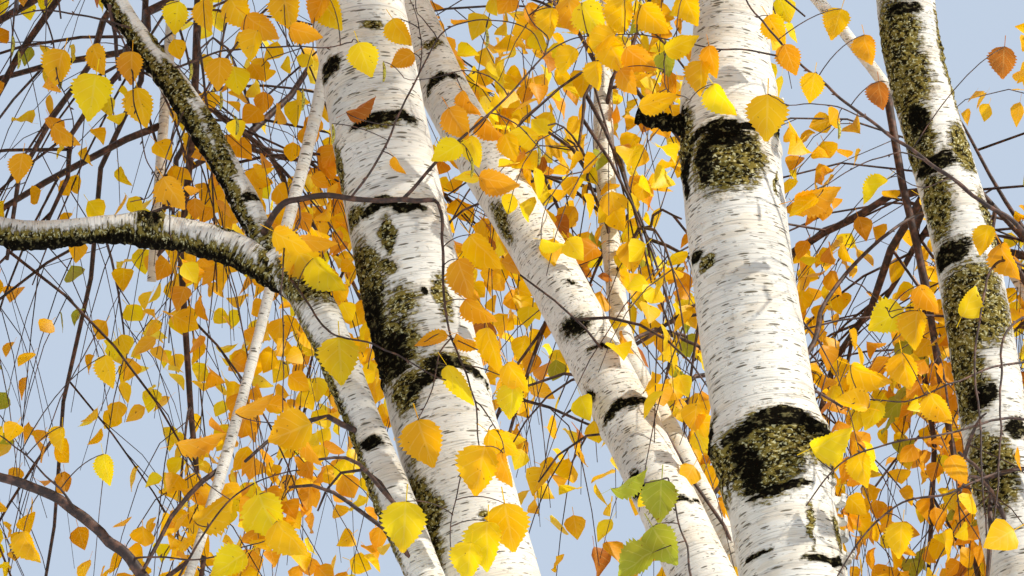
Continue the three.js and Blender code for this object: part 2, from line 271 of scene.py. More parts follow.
def grid_faces(rows: int, columns: int, closed: bool) -> Array:
    """Four-cornered faces of a grid whose corners are numbered row by row.

    Args:
        rows: number of rows of corners.
        columns: number of corners in a row.
        closed: whether the last column joins the first.

    Returns:
        Corner numbers, one row of four for each face.
    """
    down = np.arange(rows - 1)[:, None] * columns
    across = np.arange(columns if closed else columns - 1)[None, :]
    beside = (across + 1) % columns
    corners = (down + across, down + beside, down + columns + beside, down + columns + across)
    return np.stack(corners, -1).reshape(-1, 4)


def curve_frames(centres: Array, across: Optional[Array] = None) -> tuple[Array, Array]:
    """Two directions square to each curve at each of its points.

    Args:
        centres: points of many curves, (curves, points, 3).
        across: a direction that no curve runs along, or None to take the normal of each curve's plane.

    Returns:
        The side and the other direction, each (curves, points, 3), right-handed with the way ahead.
    """
    ahead = unit(np.gradient(centres, axis=1))
    if across is None:
        across = np.cross(ahead[:, 0], ahead[:, -1])
        straight = np.linalg.norm(across, axis=-1) < 0.05
        spare = np.where(np.abs(ahead[:, 0, 2:3]) < 0.8, UP, np.array([1.0, 0.0, 0.0]))
        across = np.where(straight[:, None], np.cross(ahead[:, 0], spare), across)[:, None, :]
    side = unit(across - np.sum(across * ahead, axis=-1, keepdims=True) * ahead)
    return side, np.cross(ahead, side)


def add_tubes(
    draft: MeshDraft, centres: Array, radii: Array, sides: int, flatness: float = 1.0, bark: bool = False
) -> None:
    """Add tapering closed tubes: circles, or flat ovals, carried along many curves.

    Args:
        draft: the mesh that takes them.
        centres: points of the curves, (curves, points, 3).
        radii: radius at each point, (curves, points).
        sides: corners of each circle.
        flatness: thickness as a share of the width.
        bark: whether they carry the values that birch bark reads.
    """
    side, other = curve_frames(centres)
    angle = np.linspace(0.0, 2.0 * np.pi, sides, endpoint=False)
    ring = np.cos(angle)[:, None] * side[:, :, None] + flatness * np.sin(angle)[:, None] * other[:, :, None]
    corners = centres[:, :, None] + radii[:, :, None, None] * ring
    curves, points = centres.shape[:2]
    first = np.arange(curves)[:, None, None] * points * sides
    walls = (grid_faces(points, sides, True)[None] + first).reshape(-1, 4)
    start = np.arange(sides)[::-1][None] + first[:, :, 0]
    end = np.arange(sides)[None] + (points - 1) * sides + first[:, :, 0]
    values = {}
    if bark:
        plain = np.zeros(corners.shape[:-1])
        values = {"bark_co": corners, "dark": plain, "moss": plain, "rough": plain}
    draft.add(corners, [walls, start, end], **values)


def bent_curves(starts: Array, middles: Array, ends: Array, points: int) -> Array:
    """Curves, (curves, points, 3), that leave their starts towards the middles and arrive at the ends.

    Each is (1-t)^2 start + 2t(1-t) middle + t^2 end.
    """
    t = np.linspace(0.0, 1.0, points)[None, :, None]
    return (1 - t) ** 2 * starts[:, None] + 2 * t * (1 - t) * middles[:, None] + t**2 * ends[:, None]


def hanging_curves(starts: Array, ways: Array, lengths: Array, sag: Array, points: int) -> Array:
    """Twigs that set out along a way and bend down with the length gone.

    Args:
        starts: first points, (twigs, 3).
        ways: unit directions at the start, (twigs, 3).
        lengths: lengths in metres, (twigs,).
        sag: how strongly each is drawn down at its tip, (twigs,).
        points: number of points on each.

    Returns:
        Points, (twigs, points, 3).
    """
    t = np.linspace(0.0, 1.0, points)[None, :, None]
    bend = unit(ways[:, None] * (1.0 - 0.35 * t) + DOWN * (sag[:, None, None] * 2.0 * t))
    step = bend * lengths[:, None, None] / (points - 1)
    step[:, 0] = 0.0
    return starts[:, None] + np.cumsum(step, axis=1)


def pick_along(curves: Array, shares: Array) -> tuple[Array, Array]:
    """Points and directions of curves at shares of their length.

    Args:
        curves: points of the curves, (curves, points, 3).
        shares: shares from 0 to 1, (curves, picks).

    Returns:
        Points and unit directions, each (curves * picks, 3).
    """
    place = np.clip(shares, 0.0, 0.9999) * (curves.shape[1] - 1)
    i = place.astype(int)
    rows = np.arange(len(curves))[:, None]
    low, high = curves[rows, i], curves[rows, i + 1]
    at = low + (place - i)[..., None] * (high - low)
    return at.reshape(-1, 3), unit(high - low).reshape(-1, 3)


def new_material(name: str) -> tuple[Material, NodeTree]:
    """An empty node material and its tree."""
    material = bpy.data.materials.new(name)
    material.use_nodes = True
    material.node_tree.nodes.clear()
    return material, material.node_tree


def add_node(
    tree: NodeTree, kind: str, inputs: Optional[dict] = None, out: int | str = 0, **settings: object
) -> Optional[Socket]:
    """Add a node with its settings and links.

    Args:
        tree: the material's tree.
        kind: the node's type name, less its first part, ShaderNode.
        inputs: socket name or number to a value, or to the socket that feeds it.
        out: name or number of the socket to give back.
        settings: the node's own properties.

    Returns:
        One of the node's outputs, or None if it has none.
    """
    made = tree.nodes.new(f"ShaderNode{kind}")
    for name, value in settings.items():
        setattr(made, name, value)
    for key, value in (inputs or {}).items():
        if isinstance(value, Socket):
            tree.links.new(value, made.inputs[key])
        else:
            made.inputs[key].default_value = value
    return made.outputs[out] if made.outputs else None


@dataclass(frozen=True)
class Coat:
    """A colour that lies where a mask is high: not at all below low, and by the share `most` above high."""

    colour: object
    mask: Socket
    low: float
    high: float
    most: float = 1.0


def paint(tree: NodeTree, ground: object, coats: Iterable[Coat]) -> Socket:
    """Lay coats of colour on a ground, one after another.

    Args:
        tree: the material's tree.
        ground: the first colour, or the socket that gives it.
        coats: the coats, from the first to the last.

    Returns:
        The socket with the finished colour.
    """
    for coat in coats:
        limits = {"Value": coat.mask, "From Min": coat.low, "From Max": coat.high, "To Max": coat.most}
        share = add_node(tree, "MapRange", limits, interpolation_type="SMOOTHSTEP")
        ground = add_node(tree, "Mix", {0: share, 6: ground, 7: coat.colour}, 2, data_type="RGBA")
    return ground


@dataclass(frozen=True)
class BirchBark:
    """Papery white birch bark, peeled in thin rings: satin white with a cool grey bloom.

    Lenticels are brown-black dashes that run round the stem. Old branch scars are black and wrinkled.
    Damp places carry dark, crumbly bark with olive lichen, and the oldest bark is fissured. The size of
    a pattern is in metres: a width round the stem and a height along it.
    """

    name: str = "birch_bark"
    white: str = "#DEDBD2"
    bloom: str = "#B9B7B0"
    cream: str = "#D3C7B2"
    # painted shade: grey laid along the fine horizontal grooves, where the bump is lowest
    painted_groove_shade: str = "#8C8780"
    lenticel: str = "#4E4632"
    stain: str = "#9C9274"
    scar: str = "#0B0803"
    scar_glint: str = "#746C48"
    crust: str = "#1B1505"
    olive: str = "#786A32"
    lichen: str = "#D2CDA0"
    fissure: str = "#25211D"
    plate: str = "#857F76"
    streak: Pair = (0.09, 0.0026)
    sheet: Pair = (0.09, 0.028)
    cloud: Pair = (0.11, 0.16)
    crumb: Pair = (0.0085, 0.0055)
    speck: Pair = (0.0042, 0.0030)
    plates: Pair = (0.035, 0.075)
    long_dash: Pair = (0.024, 0.0042)
    short_dash: Pair = (0.011, 0.0030)
    worn_from: float = 1.1
    worn_to: float = 1.4

    def patterns(self, tree: NodeTree) -> dict[str, Socket]:
        """The uneven patterns, each of its own size, and the dashes.

        A dash is the middle of a cell whose chance is high, and its mask is how far a place lies inside.
        """
        place = add_node(tree, "Attribute", out="Vector", attribute_name="bark_co")
        details = {"streak": 5, "sheet": 2, "cloud": 3, "crumb": 4, "speck": 2, "plates": 4}
        dashes = {"long_dash": 0.78, "short_dash": 0.5}
        made = {}
        for name in (*details, *dashes):
            width, height = getattr(self, name)
            scale = {0: place, 1: (1.0 / width, 1.0 / width, 1.0 / height)}
            spot = add_node(tree, "VectorMath", scale, operation="MULTIPLY")
            if name in details:
                inputs = {"Vector": spot, "Scale": 1.0, "Detail": details[name], "Roughness": 0.6}
                made[name] = add_node(tree, "TexNoise", inputs, out="Fac")
                continue
            away = add_node(tree, "TexVoronoi", {"Vector": spot, "Scale": 1.0}, out="Distance")
            chance = add_node(tree, "SeparateColor", {0: away.node.outputs["Color"]})
            limits = {"Value": chance, "From Min": 1.0 - dashes[name], "To Max": 0.42}
            reach = add_node(tree, "MapRange", limits)
            made[name] = add_node(tree, "Math", {0: reach, 1: away}, operation="SUBTRACT")
        return made

    def build(self) -> Material:
        """Make the material: each pattern is a mask, and the colours are laid on in turn by the masks."""
        material, tree = new_material(self.name)
        dark = add_node(tree, "Attribute", out="Fac", attribute_name="dark")
        damp = add_node(tree, "Attribute", out="Fac", attribute_name="moss")
        old = add_node(tree, "Attribute", out="Fac", attribute_name="rough")
        on = self.patterns(tree)
        edge = {0: on["streak"], 1: 0.9, 2: on["crumb"]}
        ragged = add_node(tree, "Math", edge, operation="MULTIPLY_ADD")
        either = add_node(tree, "Math", {0: dark, 1: damp}, operation="MAXIMUM")
        worn = add_node(tree, "Math", {0: either, 1: ragged}, operation="ADD")
        crusted = add_node(tree, "Math", {0: damp, 1: ragged}, operation="ADD")
        torn = add_node(tree, "Math", {0: dark, 1: ragged}, operation="ADD")
        aged = add_node(tree, "Math", {0: on["plates"], 1: 1.3, 2: old}, operation="MULTIPLY_ADD")
        crust = paint(tree, linear(self.crust), (
            Coat(linear(self.olive), on["crumb"], 0.44, 0.56),
            Coat(linear(self.lichen), on["speck"], 0.55, 0.66, 0.75),
        ))
        scar = paint(tree, linear(self.scar), (Coat(linear(self.scar_glint), on["crumb"], 0.53, 0.70, 0.8),))
        bare = paint(tree, linear(self.fissure), (Coat(linear(self.plate), on["plates"], 0.42, 0.6),))
        colour = paint(tree, linear(self.white), (
            Coat(linear(self.bloom), on["cloud"], 0.46, 0.72, 0.7),
            Coat(linear(self.cream), on["sheet"], 0.54, 0.58, 0.5),
            # grey painted shade along the streak pattern's low lines, which the bump sinks into grooves
            Coat(linear(self.painted_groove_shade), on["streak"], 0.50, 0.26, 0.75),
            Coat(linear(self.lenticel), on["long_dash"], 0.0, 0.1, 0.9),
            Coat(linear(self.lenticel), on["short_dash"], 0.0, 0.1, 0.7),
            Coat(linear(self.stain), worn, self.worn_from, self.worn_to, 0.75),
            Coat(crust, crusted, 1.22, 1.38),
            Coat(scar, torn, 1.28, 1.44),
            Coat(bare, aged, 1.05, 1.25),
        ))
        limits = {"Value": worn, "From Min": self.worn_from, "From Max": self.worn_to}
        heavy = add_node(tree, "MapRange", {**limits, "To Max": 2.2})
        relief = {0: on["crumb"], 1: heavy, 2: on["streak"]}
        height = add_node(tree, "Math", relief, operation="MULTIPLY_ADD")
        bump = add_node(tree, "Bump", {"Height": height, "Strength": 0.9, "Distance": 0.0022})
        gloss = add_node(tree, "MapRange", {**limits, "To Min": 0.5, "To Max": 0.9})
        shine = add_node(tree, "MapRange", {**limits, "To Min": 0.35, "To Max": 0.05})
        skin = {"Base Color": colour, "Roughness": gloss, "Normal": bump, "Specular IOR Level": shine}
        shader = add_node(tree, "BsdfPrincipled", skin)
        add_node(tree, "OutputMaterial", {"Surface": shader})
        return material


@dataclass(frozen=True)
class TwigBark:
    """Bark of young birch twigs: dark purple-brown, slightly glossy, with pale warts."""

    name: str = "twig_bark"
    dark: str = "#2B1B16"
    pale: str = "#654536"
    grain: float = 0.010

    def build(self) -> Material:
        """Make the material: noise on Object coordinates mixes the two browns."""
        material, tree = new_material(self.name)
        place = add_node(tree, "TexCoord", out="Object")
        inputs = {"Vector": place, "Scale": 1.0 / self.grain, "Detail": 3.0}
        noise = add_node(tree, "TexNoise", inputs, out="Fac")
        colour = paint(tree, linear(self.dark), (Coat(linear(self.pale), noise, 0.42, 0.72),))
        bump = add_node(tree, "Bump", {"Height": noise, "Strength": 0.5, "Distance": 0.0008})
        skin = {"Base Color": colour, "Roughness": 0.62, "Normal": bump}
        shader = add_node(tree, "BsdfPrincipled", skin)
        add_node(tree, "OutputMaterial", {"Surface": shader})
        return material


@dataclass(frozen=True)
class LeafFinish:
    """A birch leaf in autumn: thin, so that light comes through it, with a satin upper skin.

    Its veins are a little paler than the blade, and brown specks come first along the edge.
    """

    tint: Tint
    vein: str = "#FDEE9A"
    speck: str = "#8A4E16"
    see_through: float = 0.55
    drift_size: float = 0.07
    speck_size: float = 0.006
    vein_slant: float = 0.32
    vein_gap: float = 0.115
    deep: Point = (0.86, 0.78, 0.8)
    bright: Point = (1.0, 1.10, 1.4)

    def build(self) -> Material:
        """Make the material: a blade colour that drifts from leaf to leaf, with veins and specks."""
        material, tree = new_material(f"birch_leaf_{self.tint.name.lower()}")
        place = add_node(tree, "TexCoord", out="Object")
        inputs = {"Vector": place, "Scale": 1.0 / self.drift_size, "Detail": 2.0}
        drift = add_node(tree, "TexNoise", inputs, out="Fac")
        inputs = {"Vector": place, "Scale": 1.0 / self.speck_size, "Detail": 2.0}
        flecks = add_node(tree, "TexNoise", inputs, out="Fac")
        blade = add_node(tree, "UVMap", uv_map="blade")
        across = add_node(tree, "SeparateXYZ", {0: blade})
        wide = add_node(tree, "Math", {0: across}, operation="ABSOLUTE")
        slant = {0: wide, 1: -self.vein_slant, 2: across.node.outputs[1]}
        slanted = add_node(tree, "Math", slant, operation="MULTIPLY_ADD")
        comb = add_node(tree, "Math", {0: slanted, 1: self.vein_gap}, operation="PINGPONG")
        shown = add_node(tree, "Math", {0: wide, 1: 0.001}, operation="GREATER_THAN")
        line = add_node(tree, "MapRange", {"Value": comb, "From Min": 0.016, "From Max": 0.004})
        rib = add_node(tree, "MapRange", {"Value": wide, "From Min": 0.07, "From Max": 0.03})
        veins = add_node(tree, "Math", {0: line, 1: rib}, operation="MAXIMUM")
        veins = add_node(tree, "Math", {0: veins, 1: shown}, operation="MULTIPLY")
        *tint, _ = linear(self.tint.colour)
        deep = (*(min(1.0, value * share) for value, share in zip(tint, self.deep)), 1.0)
        bright = (*(min(1.0, value * share) for value, share in zip(tint, self.bright)), 1.0)
        colour = paint(tree, deep, (
            Coat(bright, drift, 0.3, 0.66),
            Coat(linear(self.vein), veins, 0.0, 1.0, 0.14),
            Coat(linear(self.speck), flecks, 0.70, 0.76, 0.8),
        ))
        bump = add_node(tree, "Bump", {"Height": comb, "Strength": 0.4, "Distance": 0.002})
        skin = {"Base Color": colour, "Roughness": 0.45, "Normal": bump, "Specular IOR Level": 0.4}
        upper = add_node(tree, "BsdfPrincipled", skin)
        through = add_node(tree, "BsdfTranslucent", {"Color": colour})
        both = add_node(tree, "MixShader", {0: self.see_through, 1: upper, 2: through})
        add_node(tree, "OutputMaterial", {"Surface": both})
        return material


@dataclass(frozen=True)
class CatkinFinish:
    """Young catkins: close overlapping scales, yellow-green and browner between them."""

    name: str = "catkin_scales"
    green: str = "#B9B23A"
    brown: str = "#6E5422"
    scale_size: float = 0.0022

    def build(self) -> Material:
        """Make the material: a cell pattern of scales, darker between them."""
        material, tree = new_material(self.name)
        place = add_node(tree, "TexCoord", out="Object")
        cells = {"Vector": place, "Scale": 1.0 / self.scale_size}
        away = add_node(tree, "TexVoronoi", cells, out="Distance")
        colour = paint(tree, linear(self.green), (Coat(linear(self.brown), away, 0.35, 0.8),))
        bump = add_node(tree, "Bump", {"Height": away, "Strength": 0.6, "Distance": 0.0006})
        skin = {"Base Color": colour, "Roughness": 0.6, "Normal": bump}
        shader = add_node(tree, "BsdfPrincipled", skin)
        add_node(tree, "OutputMaterial", {"Surface": shader})
        return material


@dataclass(frozen=True)
class Mark:
    """A mark on the bark, by its angle round the limb, in degrees, and its place along it, in metres.

    On a stem the place is a height, and -90 degrees faces the photograph's camera. A chevron's wings drop
    on both sides of its middle. Bulge is how far the bark swells there, in metres.
    """

    kind: MarkKind
    angle: float
    place: float
    half_angle: float
    half_height: float
    strength: float = 1.0
    drop: float = 0.0
    bulge: float = 0.0
    skew: float = 0.0

    def mask(self, angles: Array, places: Array, widened: float = 1.0) -> Array:
        """How strongly the mark shows, from 0 to 1, over a grid of angles and places."""
        aside = (np.degrees(angles) - self.angle + 180.0) % 360.0 - 180.0
        across = aside / (self.half_angle * widened)
        line = self.place - self.drop * np.abs(across) ** 1.4 + self.skew * across
        away = (places - line) / (self.half_height * widened)
        if self.kind is CHEVRON:
            reach = np.clip(1.0 - np.abs(across) ** 2.5, 0.0, 1.0)
            thin = 0.35 + 0.65 * reach
            return self.strength * np.clip(1.5 - 1.5 * np.abs(away) / thin, 0.0, 1.0) * np.sqrt(reach)
        return self.strength * np.clip(1.35 - 1.35 * np.sqrt(across**2 + away**2), 0.0, 1.0)


@dataclass(frozen=True)
class Relief:
    """The relief of the bark, in metres, and how far the edges of its marks stray.

    Each pair is for the coarse and the fine noise. Lumps are a share of the radius.
    """

    stray_round: Pair = (0.16, 0.04)
    stray_along: Pair = (0.008, 0.0026)
    swell_spread: float = 1.7
    lumps: float = 0.024
    grain: float = 0.0004
    fold: float = 0.0055
    fold_middle: float = 0.72
    crust_grain: float = 0.0012
    fissure: float = 0.014
    fissure_middle: float = 0.8


@dataclass
class BarkTube:
    """A stem or limb: a round profile carried along a curve, with the relief of its bark."""

    name: str
    stations: Sequence[Point]
    sides: int
    seed: int
    close_rings: Pair = (0.0, 0.0)
    close_step: float = 0.0035
    wide_step: float = 0.025
    marks: tuple[Mark, ...] = ()
    across: Point = (1.0, 0.0, 0.0)
    nominal: float = 0.06
    slot: str = "white_birch_bark"
    relief: Relief = Relief()

    def radius(self, centres: Array, share: Array) -> Array:
        """The plain radius at each ring. Subclasses give their own rule."""
        raise NotImplementedError

    def places(self, heights: Array, along: Array) -> Array:
        """What the marks' places count: the length along, unless a subclass counts heights."""
        return along

    def girth(self, plain: Array, angles: Array, heights: Array) -> Array:
        """The radius over the grid, before relief."""
        return np.repeat(plain[:, None], angles.shape[1], axis=1)

    def age(self, heights: Array, wander: Array) -> Array:
        """How old and fissured the bark is, from 0 to 1."""
        return np.zeros_like(heights)

    def at_height(self, height: float) -> Array:
        """The point of its curve at a height."""
        return StationCurve(self.stations).at_height(np.array([height]))[0]

    def grain(self, place: Array, around: float, along: float, shift: int, layers: int) -> Array:
        """Layered noise of its own, with so many lumps to a metre round the bark and along it."""
        return layered_noise(place * np.array([around, around, along]), self.seed + shift, layers)

    def ring_lengths(self, curve: StationCurve) -> Array:
        """Lengths at which the rings stand: close together where the bark is seen from near.

        The wanted step is small between two heights and widens with the distance from them. Rings are
        spread so that each step takes the same share of the sum of one over the wanted step.
        """
        lengths = np.linspace(0.0, curve.length, 4000)
        height = curve.at(lengths)[:, 2]
        low, high = self.close_rings
        away = np.maximum(np.maximum(low - height, height - high), 0.0)
        step = np.minimum(self.wide_step, self.close_step + 0.06 * away)
        density = np.concatenate([[0.0], np.cumsum(np.diff(lengths) / step[1:])])
        return np.interp(np.linspace(0.0, density[-1], max(6, int(density[-1]))), density, lengths)

    def build(self, bark: Material) -> bpy.types.Object:
        """Make the piece.

        A corner stands at centre + (radius + height) (cos a side + sin a other), where the height is
        layered noise, the swelling of the marks, and fissures where the bark is old.
        """
        curve = StationCurve(self.stations)
        lengths = self.ring_lengths(curve)
        centres = curve.at(lengths)
        side, other = (way[0] for way in curve_frames(centres[None], np.array(self.across)[None, None]))
        angles, heights = np.meshgrid(np.linspace(-np.pi, np.pi, self.sides, endpoint=False), centres[:, 2])
        along = np.repeat(lengths[:, None], self.sides, axis=1)
        places = self.places(heights, along)
        plain = self.radius(centres, lengths / curve.length)
        bark_place = np.stack([np.cos(angles) * self.nominal, np.sin(angles) * self.nominal, along], -1)
        wander = self.grain(bark_place, 28.0, 34.0, 0, 3)
        crumple = self.grain(bark_place, 95.0, 150.0, 5, 2)
        coarse, fine = self.relief.stray_round
        seen_angles = angles + coarse * wander + fine * crumple
        coarse, fine = self.relief.stray_along
        seen_places = places + coarse * wander + fine * crumple
        masks = {kind: np.zeros_like(angles) for kind in MarkKind}
        swell = np.zeros_like(angles)
        for mark in self.marks:
            masks[mark.kind] = np.maximum(masks[mark.kind], mark.mask(seen_angles, seen_places))
            if mark.bulge:
                spread = mark.mask(angles, places, self.relief.swell_spread)
                swell += mark.bulge * smooth_step(spread, 0.0, 0.9)
        dark = np.maximum(masks[CHEVRON], masks[PATCH])
        moss = masks[MOSS]
        old = self.age(heights, wander)
        slow = self.grain(bark_place, 9.0, 5.0, 11, 3)
        height = plain[:, None] * self.relief.lumps * slow + self.relief.grain * crumple + swell
        folds = 1.0 - np.abs(self.grain(bark_place, 70.0, 170.0, 29, 2))
        folded = self.relief.fold * (folds - self.relief.fold_middle) + self.relief.crust_grain * crumple
        height += smooth_step(np.maximum(dark, moss), 0.1, 0.7) * folded
        ridges = 1.0 - np.abs(self.grain(bark_place, 26.0, 9.0, 23, 3))
        height += old * (ridges - self.relief.fissure_middle) * self.relief.fissure
        out = np.cos(angles)[..., None] * side[:, None] + np.sin(angles)[..., None] * other[:, None]
        corners = centres[:, None] + (self.girth(plain, angles, heights) + height)[..., None] * out
        corners[..., 2] = np.maximum(corners[..., 2], 0.0)
        ring = np.arange(self.sides)
        ends = [ring[::-1][None], (ring + (len(lengths) - 1) * self.sides)[None]]
        walls = grid_faces(len(lengths), self.sides, True)
        draft = MeshDraft()
        draft.add(corners, [walls, *ends], bark_co=bark_place, dark=dark, moss=moss, rough=old)
        return draft.build(self.name, [bark], self.slot, [self.name])


@dataclass
class Stem(BarkTube):
    """A stem of the clump: it flares at the foot, tapers to its tip and loses girth at its collar."""

    base_radius: float = 0.1
    top: float = 12.0
    taper: float = 1.0
    collar_height: float = 0.0
    collar_keep: float = 1.0
    collar_blend: float = 0.06
    tip_radius: float = 0.006
    flare: float = 0.85
    flare_height: float = 0.13
    buttresses: int = 4
    scars_below: int = 13
    scars_above: int = 17
    scar_seed: int = 900

    def __post_init__(self) -> None:
        """Strew branch scars over the stretches that have no marks of their own."""
        low, high = self.close_rings
        strewn = self.strewn_marks(0.6, low - 0.12, self.scars_below)
        strewn += self.strewn_marks(high + 0.06, 0.8 * self.top, self.scars_above)
        self.marks = self.marks + tuple(strewn)

    def strewn_marks(self, low: float, high: float, count: int) -> list[Mark]:
        """Branch scars at chance angles, one in each equal part of a stretch, some with a knot below."""
        draw = np.random.default_rng(self.seed + self.scar_seed + count)
        made = []
        for k in range(count):
            height = low + (high - low) * (k + draw.uniform(0.1, 0.9)) / count
            size = draw.uniform(0.5, 1.3)
            angle = float(draw.uniform(-180, 180))
            made.append(Mark(CHEVRON, angle, height, 40 * size, 0.011 * size, 1, 0.05 * size, 0.004))
            made.append(Mark(MOSS, angle, height - 0.02 * size, 26 * size, 0.024 * size, 0.9))
            if draw.random() < 0.5:
                made.append(Mark(PATCH, angle + 3, height - 0.03 * size, 12 * size, 0.016 * size))
        return made

    def radius(self, centres: Array, share: Array) -> Array:
        """Base radius times a power of the height still to go, less what the collar takes."""
        height = centres[:, 2]
        plain = self.base_radius * np.maximum(0.0, 1.0 - height / self.top) ** self.taper
        above = smooth_step(height, self.collar_height, self.collar_height + self.collar_blend)
        return np.maximum(self.tip_radius, plain * (1.0 - (1.0 - self.collar_keep) * above))

    def places(self, heights: Array, along: Array) -> Array:
        """A stem's marks are placed by height."""
        return heights

    def girth(self, plain: Array, angles: Array, heights: Array) -> Array:
        """The flare widens the foot as exp(-height / flare height), with a rib for each buttress."""
        low = np.maximum(heights, 0.0)
        ribs = 1.0 + 0.16 * np.cos(self.buttresses * angles + self.seed) * np.exp(-low / 0.22)
        return plain[:, None] * (1.0 + self.flare * np.exp(-low / self.flare_height)) * ribs

    def age(self, heights: Array, wander: Array) -> Array:
        """Bark is black and fissured at the foot and turns white by about one metre up."""
        return smooth_step(-(heights + 0.28 * wander), -1.05, -0.25)

    def surface(self, angle: float, height: float) -> tuple[Array, Array, Array]:
        """A point of the plain surface, with the way out and the way round, at an angle and a height."""
        centre = StationCurve(self.stations).at_height(np.array([height]))
        out = np.array([np.cos(np.radians(angle)), np.sin(np.radians(angle)), 0.0])
        return centre[0] + out * self.radius(centre, np.zeros(1))[0], out, np.cross(UP, out)


@dataclass
class Limb(BarkTube):
    """A limb: its radius falls evenly from its start to its end, with slow swellings."""

    start_radius: float = 0.02
    end_radius: float = 0.01
    knuckle: float = 0.06

    def radius(self, centres: Array, share: Array) -> Array:
        """Even taper with a slow wave on it."""
        plain = self.start_radius + (self.end_radius - self.start_radius) * share
        return plain * (1.0 + self.knuckle * np.sin(share * 31.0 + self.seed))


@dataclass
class RootFoot:
    """The low mound that joins the butts of the stems, cut flat at ground level."""

    centre: Pair = (0.06, 0.08)
    foot_radius: float = 0.33
    height: float = 0.26
    rings: int = 70
    sides: int = 160
    seed: int = 61

    def build(self, bark: Material) -> bpy.types.Object:
        """Make the mound: height falls from the middle as a power of the cosine of the way out."""
        share = np.linspace(0.0, 1.0, self.rings)[1:]
        angles, shares = np.meshgrid(np.linspace(-np.pi, np.pi, self.sides, endpoint=False), share)
        reach = self.foot_radius * (1.0 + 0.10 * np.sin(3 * angles + 1.0) + 0.07 * np.sin(5 * angles + 2.2))
        flat = np.stack([np.cos(angles) * reach * shares, np.sin(angles) * reach * shares], -1)
        place = np.concatenate([flat, np.zeros_like(angles)[..., None]], -1)
        lumps = 1.0 + 0.14 * layered_noise(place * 14.0, self.seed)
        rise = self.height * np.cos(shares * np.pi / 2) ** 0.8 * lumps
        rise = np.where(shares >= 1.0, 0.0, np.maximum(rise, 0.0))
        slope = np.concatenate([flat + np.array(self.centre), rise[..., None]], -1).reshape(-1, 3)
        corners = np.concatenate([slope, [[*self.centre, self.height]]])
        ring = np.arange(self.sides)
        fan = np.stack([ring, (ring + 1) % self.sides, np.full(self.sides, len(slope))], -1)
        walls = grid_faces(len(share), self.sides, True)[:, ::-1]
        base = (ring[::-1] + (len(share) - 1) * self.sides)[None]
        full = np.ones(len(corners))
        draft = MeshDraft()
        draft.add(corners, [walls, fan, base], bark_co=corners, dark=0 * full, moss=0.4 * full, rough=full)
        return draft.build("root_foot", [bark], "rough_root_bark", ["foot"])


@dataclass(frozen=True)
class Curl:
    """A strip of loose bark: its angle and height on the stem, its size, and the way it points."""

    angle: float
    height: float
    width: float
    turn_radius: float
    way: int = 1


@dataclass(frozen=True)
class PeelCurls:
    """Thin strips of bark that have come loose and curl away from the stems."""

    thickness_share: float = 0.05
    points: int = 12
    strewn: int = 34
    strewn_heights: Pair = (1.0, 9.0)
    strewn_seed: int = 700
    covered_limit: float = 0.05
    on_middle_stem: tuple[Curl, ...] = (
        Curl(-14, 4.350, 0.018, 0.011),
        Curl(-10, 4.325, 0.014, 0.009),
        Curl(-18, 4.300, 0.020, 0.008),
        Curl(-22, 4.370, 0.010, 0.007),
        Curl(-30, 4.262, 0.016, 0.010),
        Curl(-8, 4.280, 0.012, 0.010),
        Curl(-160, 4.360, 0.010, 0.006, -1),
    )

    def add(self, draft: MeshDraft, stem: Stem, curls: Iterable[Curl]) -> None:
        """Add strips to a stem: each leaves the surface along the way round and tightens as it turns out."""
        for curl in curls:
            foot, out, around = stem.surface(curl.angle, curl.height)
            turn = np.linspace(0.0, 1.25 * np.pi, self.points)
            tight = curl.turn_radius * (1.0 - 0.4 * turn / turn[-1])
            path = foot - 0.001 * out + (tight * np.sin(turn))[:, None] * around * curl.way
            path = path + (tight * (1.0 - np.cos(turn)))[:, None] * out
            widths = 0.5 * curl.width * np.linspace(1.0, 0.6, self.points)
            add_tubes(draft, path[None], widths[None], 10, self.thickness_share, bark=True)

    def build(self, stems: dict[str, Stem], bark: Material) -> bpy.types.Object:
        """Make the piece: strips where the photograph shows them, and more strewn over the stems."""
        draft = MeshDraft()
        self.add(draft, stems["stem_middle"], self.on_middle_stem)
        for k, stem in enumerate(stems.values()):
            draw = np.random.default_rng(self.strewn_seed + k)
            for _ in range(self.strewn):
                size = float(draw.uniform(0.6, 1.3))
                angle, height = float(draw.uniform(-180, 180)), float(draw.uniform(*self.strewn_heights))
                way = int(draw.choice([-1, 1]))
                covered = max(float(mark.mask(np.radians(angle), height, 1.2)) for mark in stem.marks)
                if covered < self.covered_limit:
                    self.add(draft, stem, [Curl(angle, height, 0.012 * size, 0.006 * size, way)])
        return draft.build("bark_curls", [bark], "white_birch_bark")


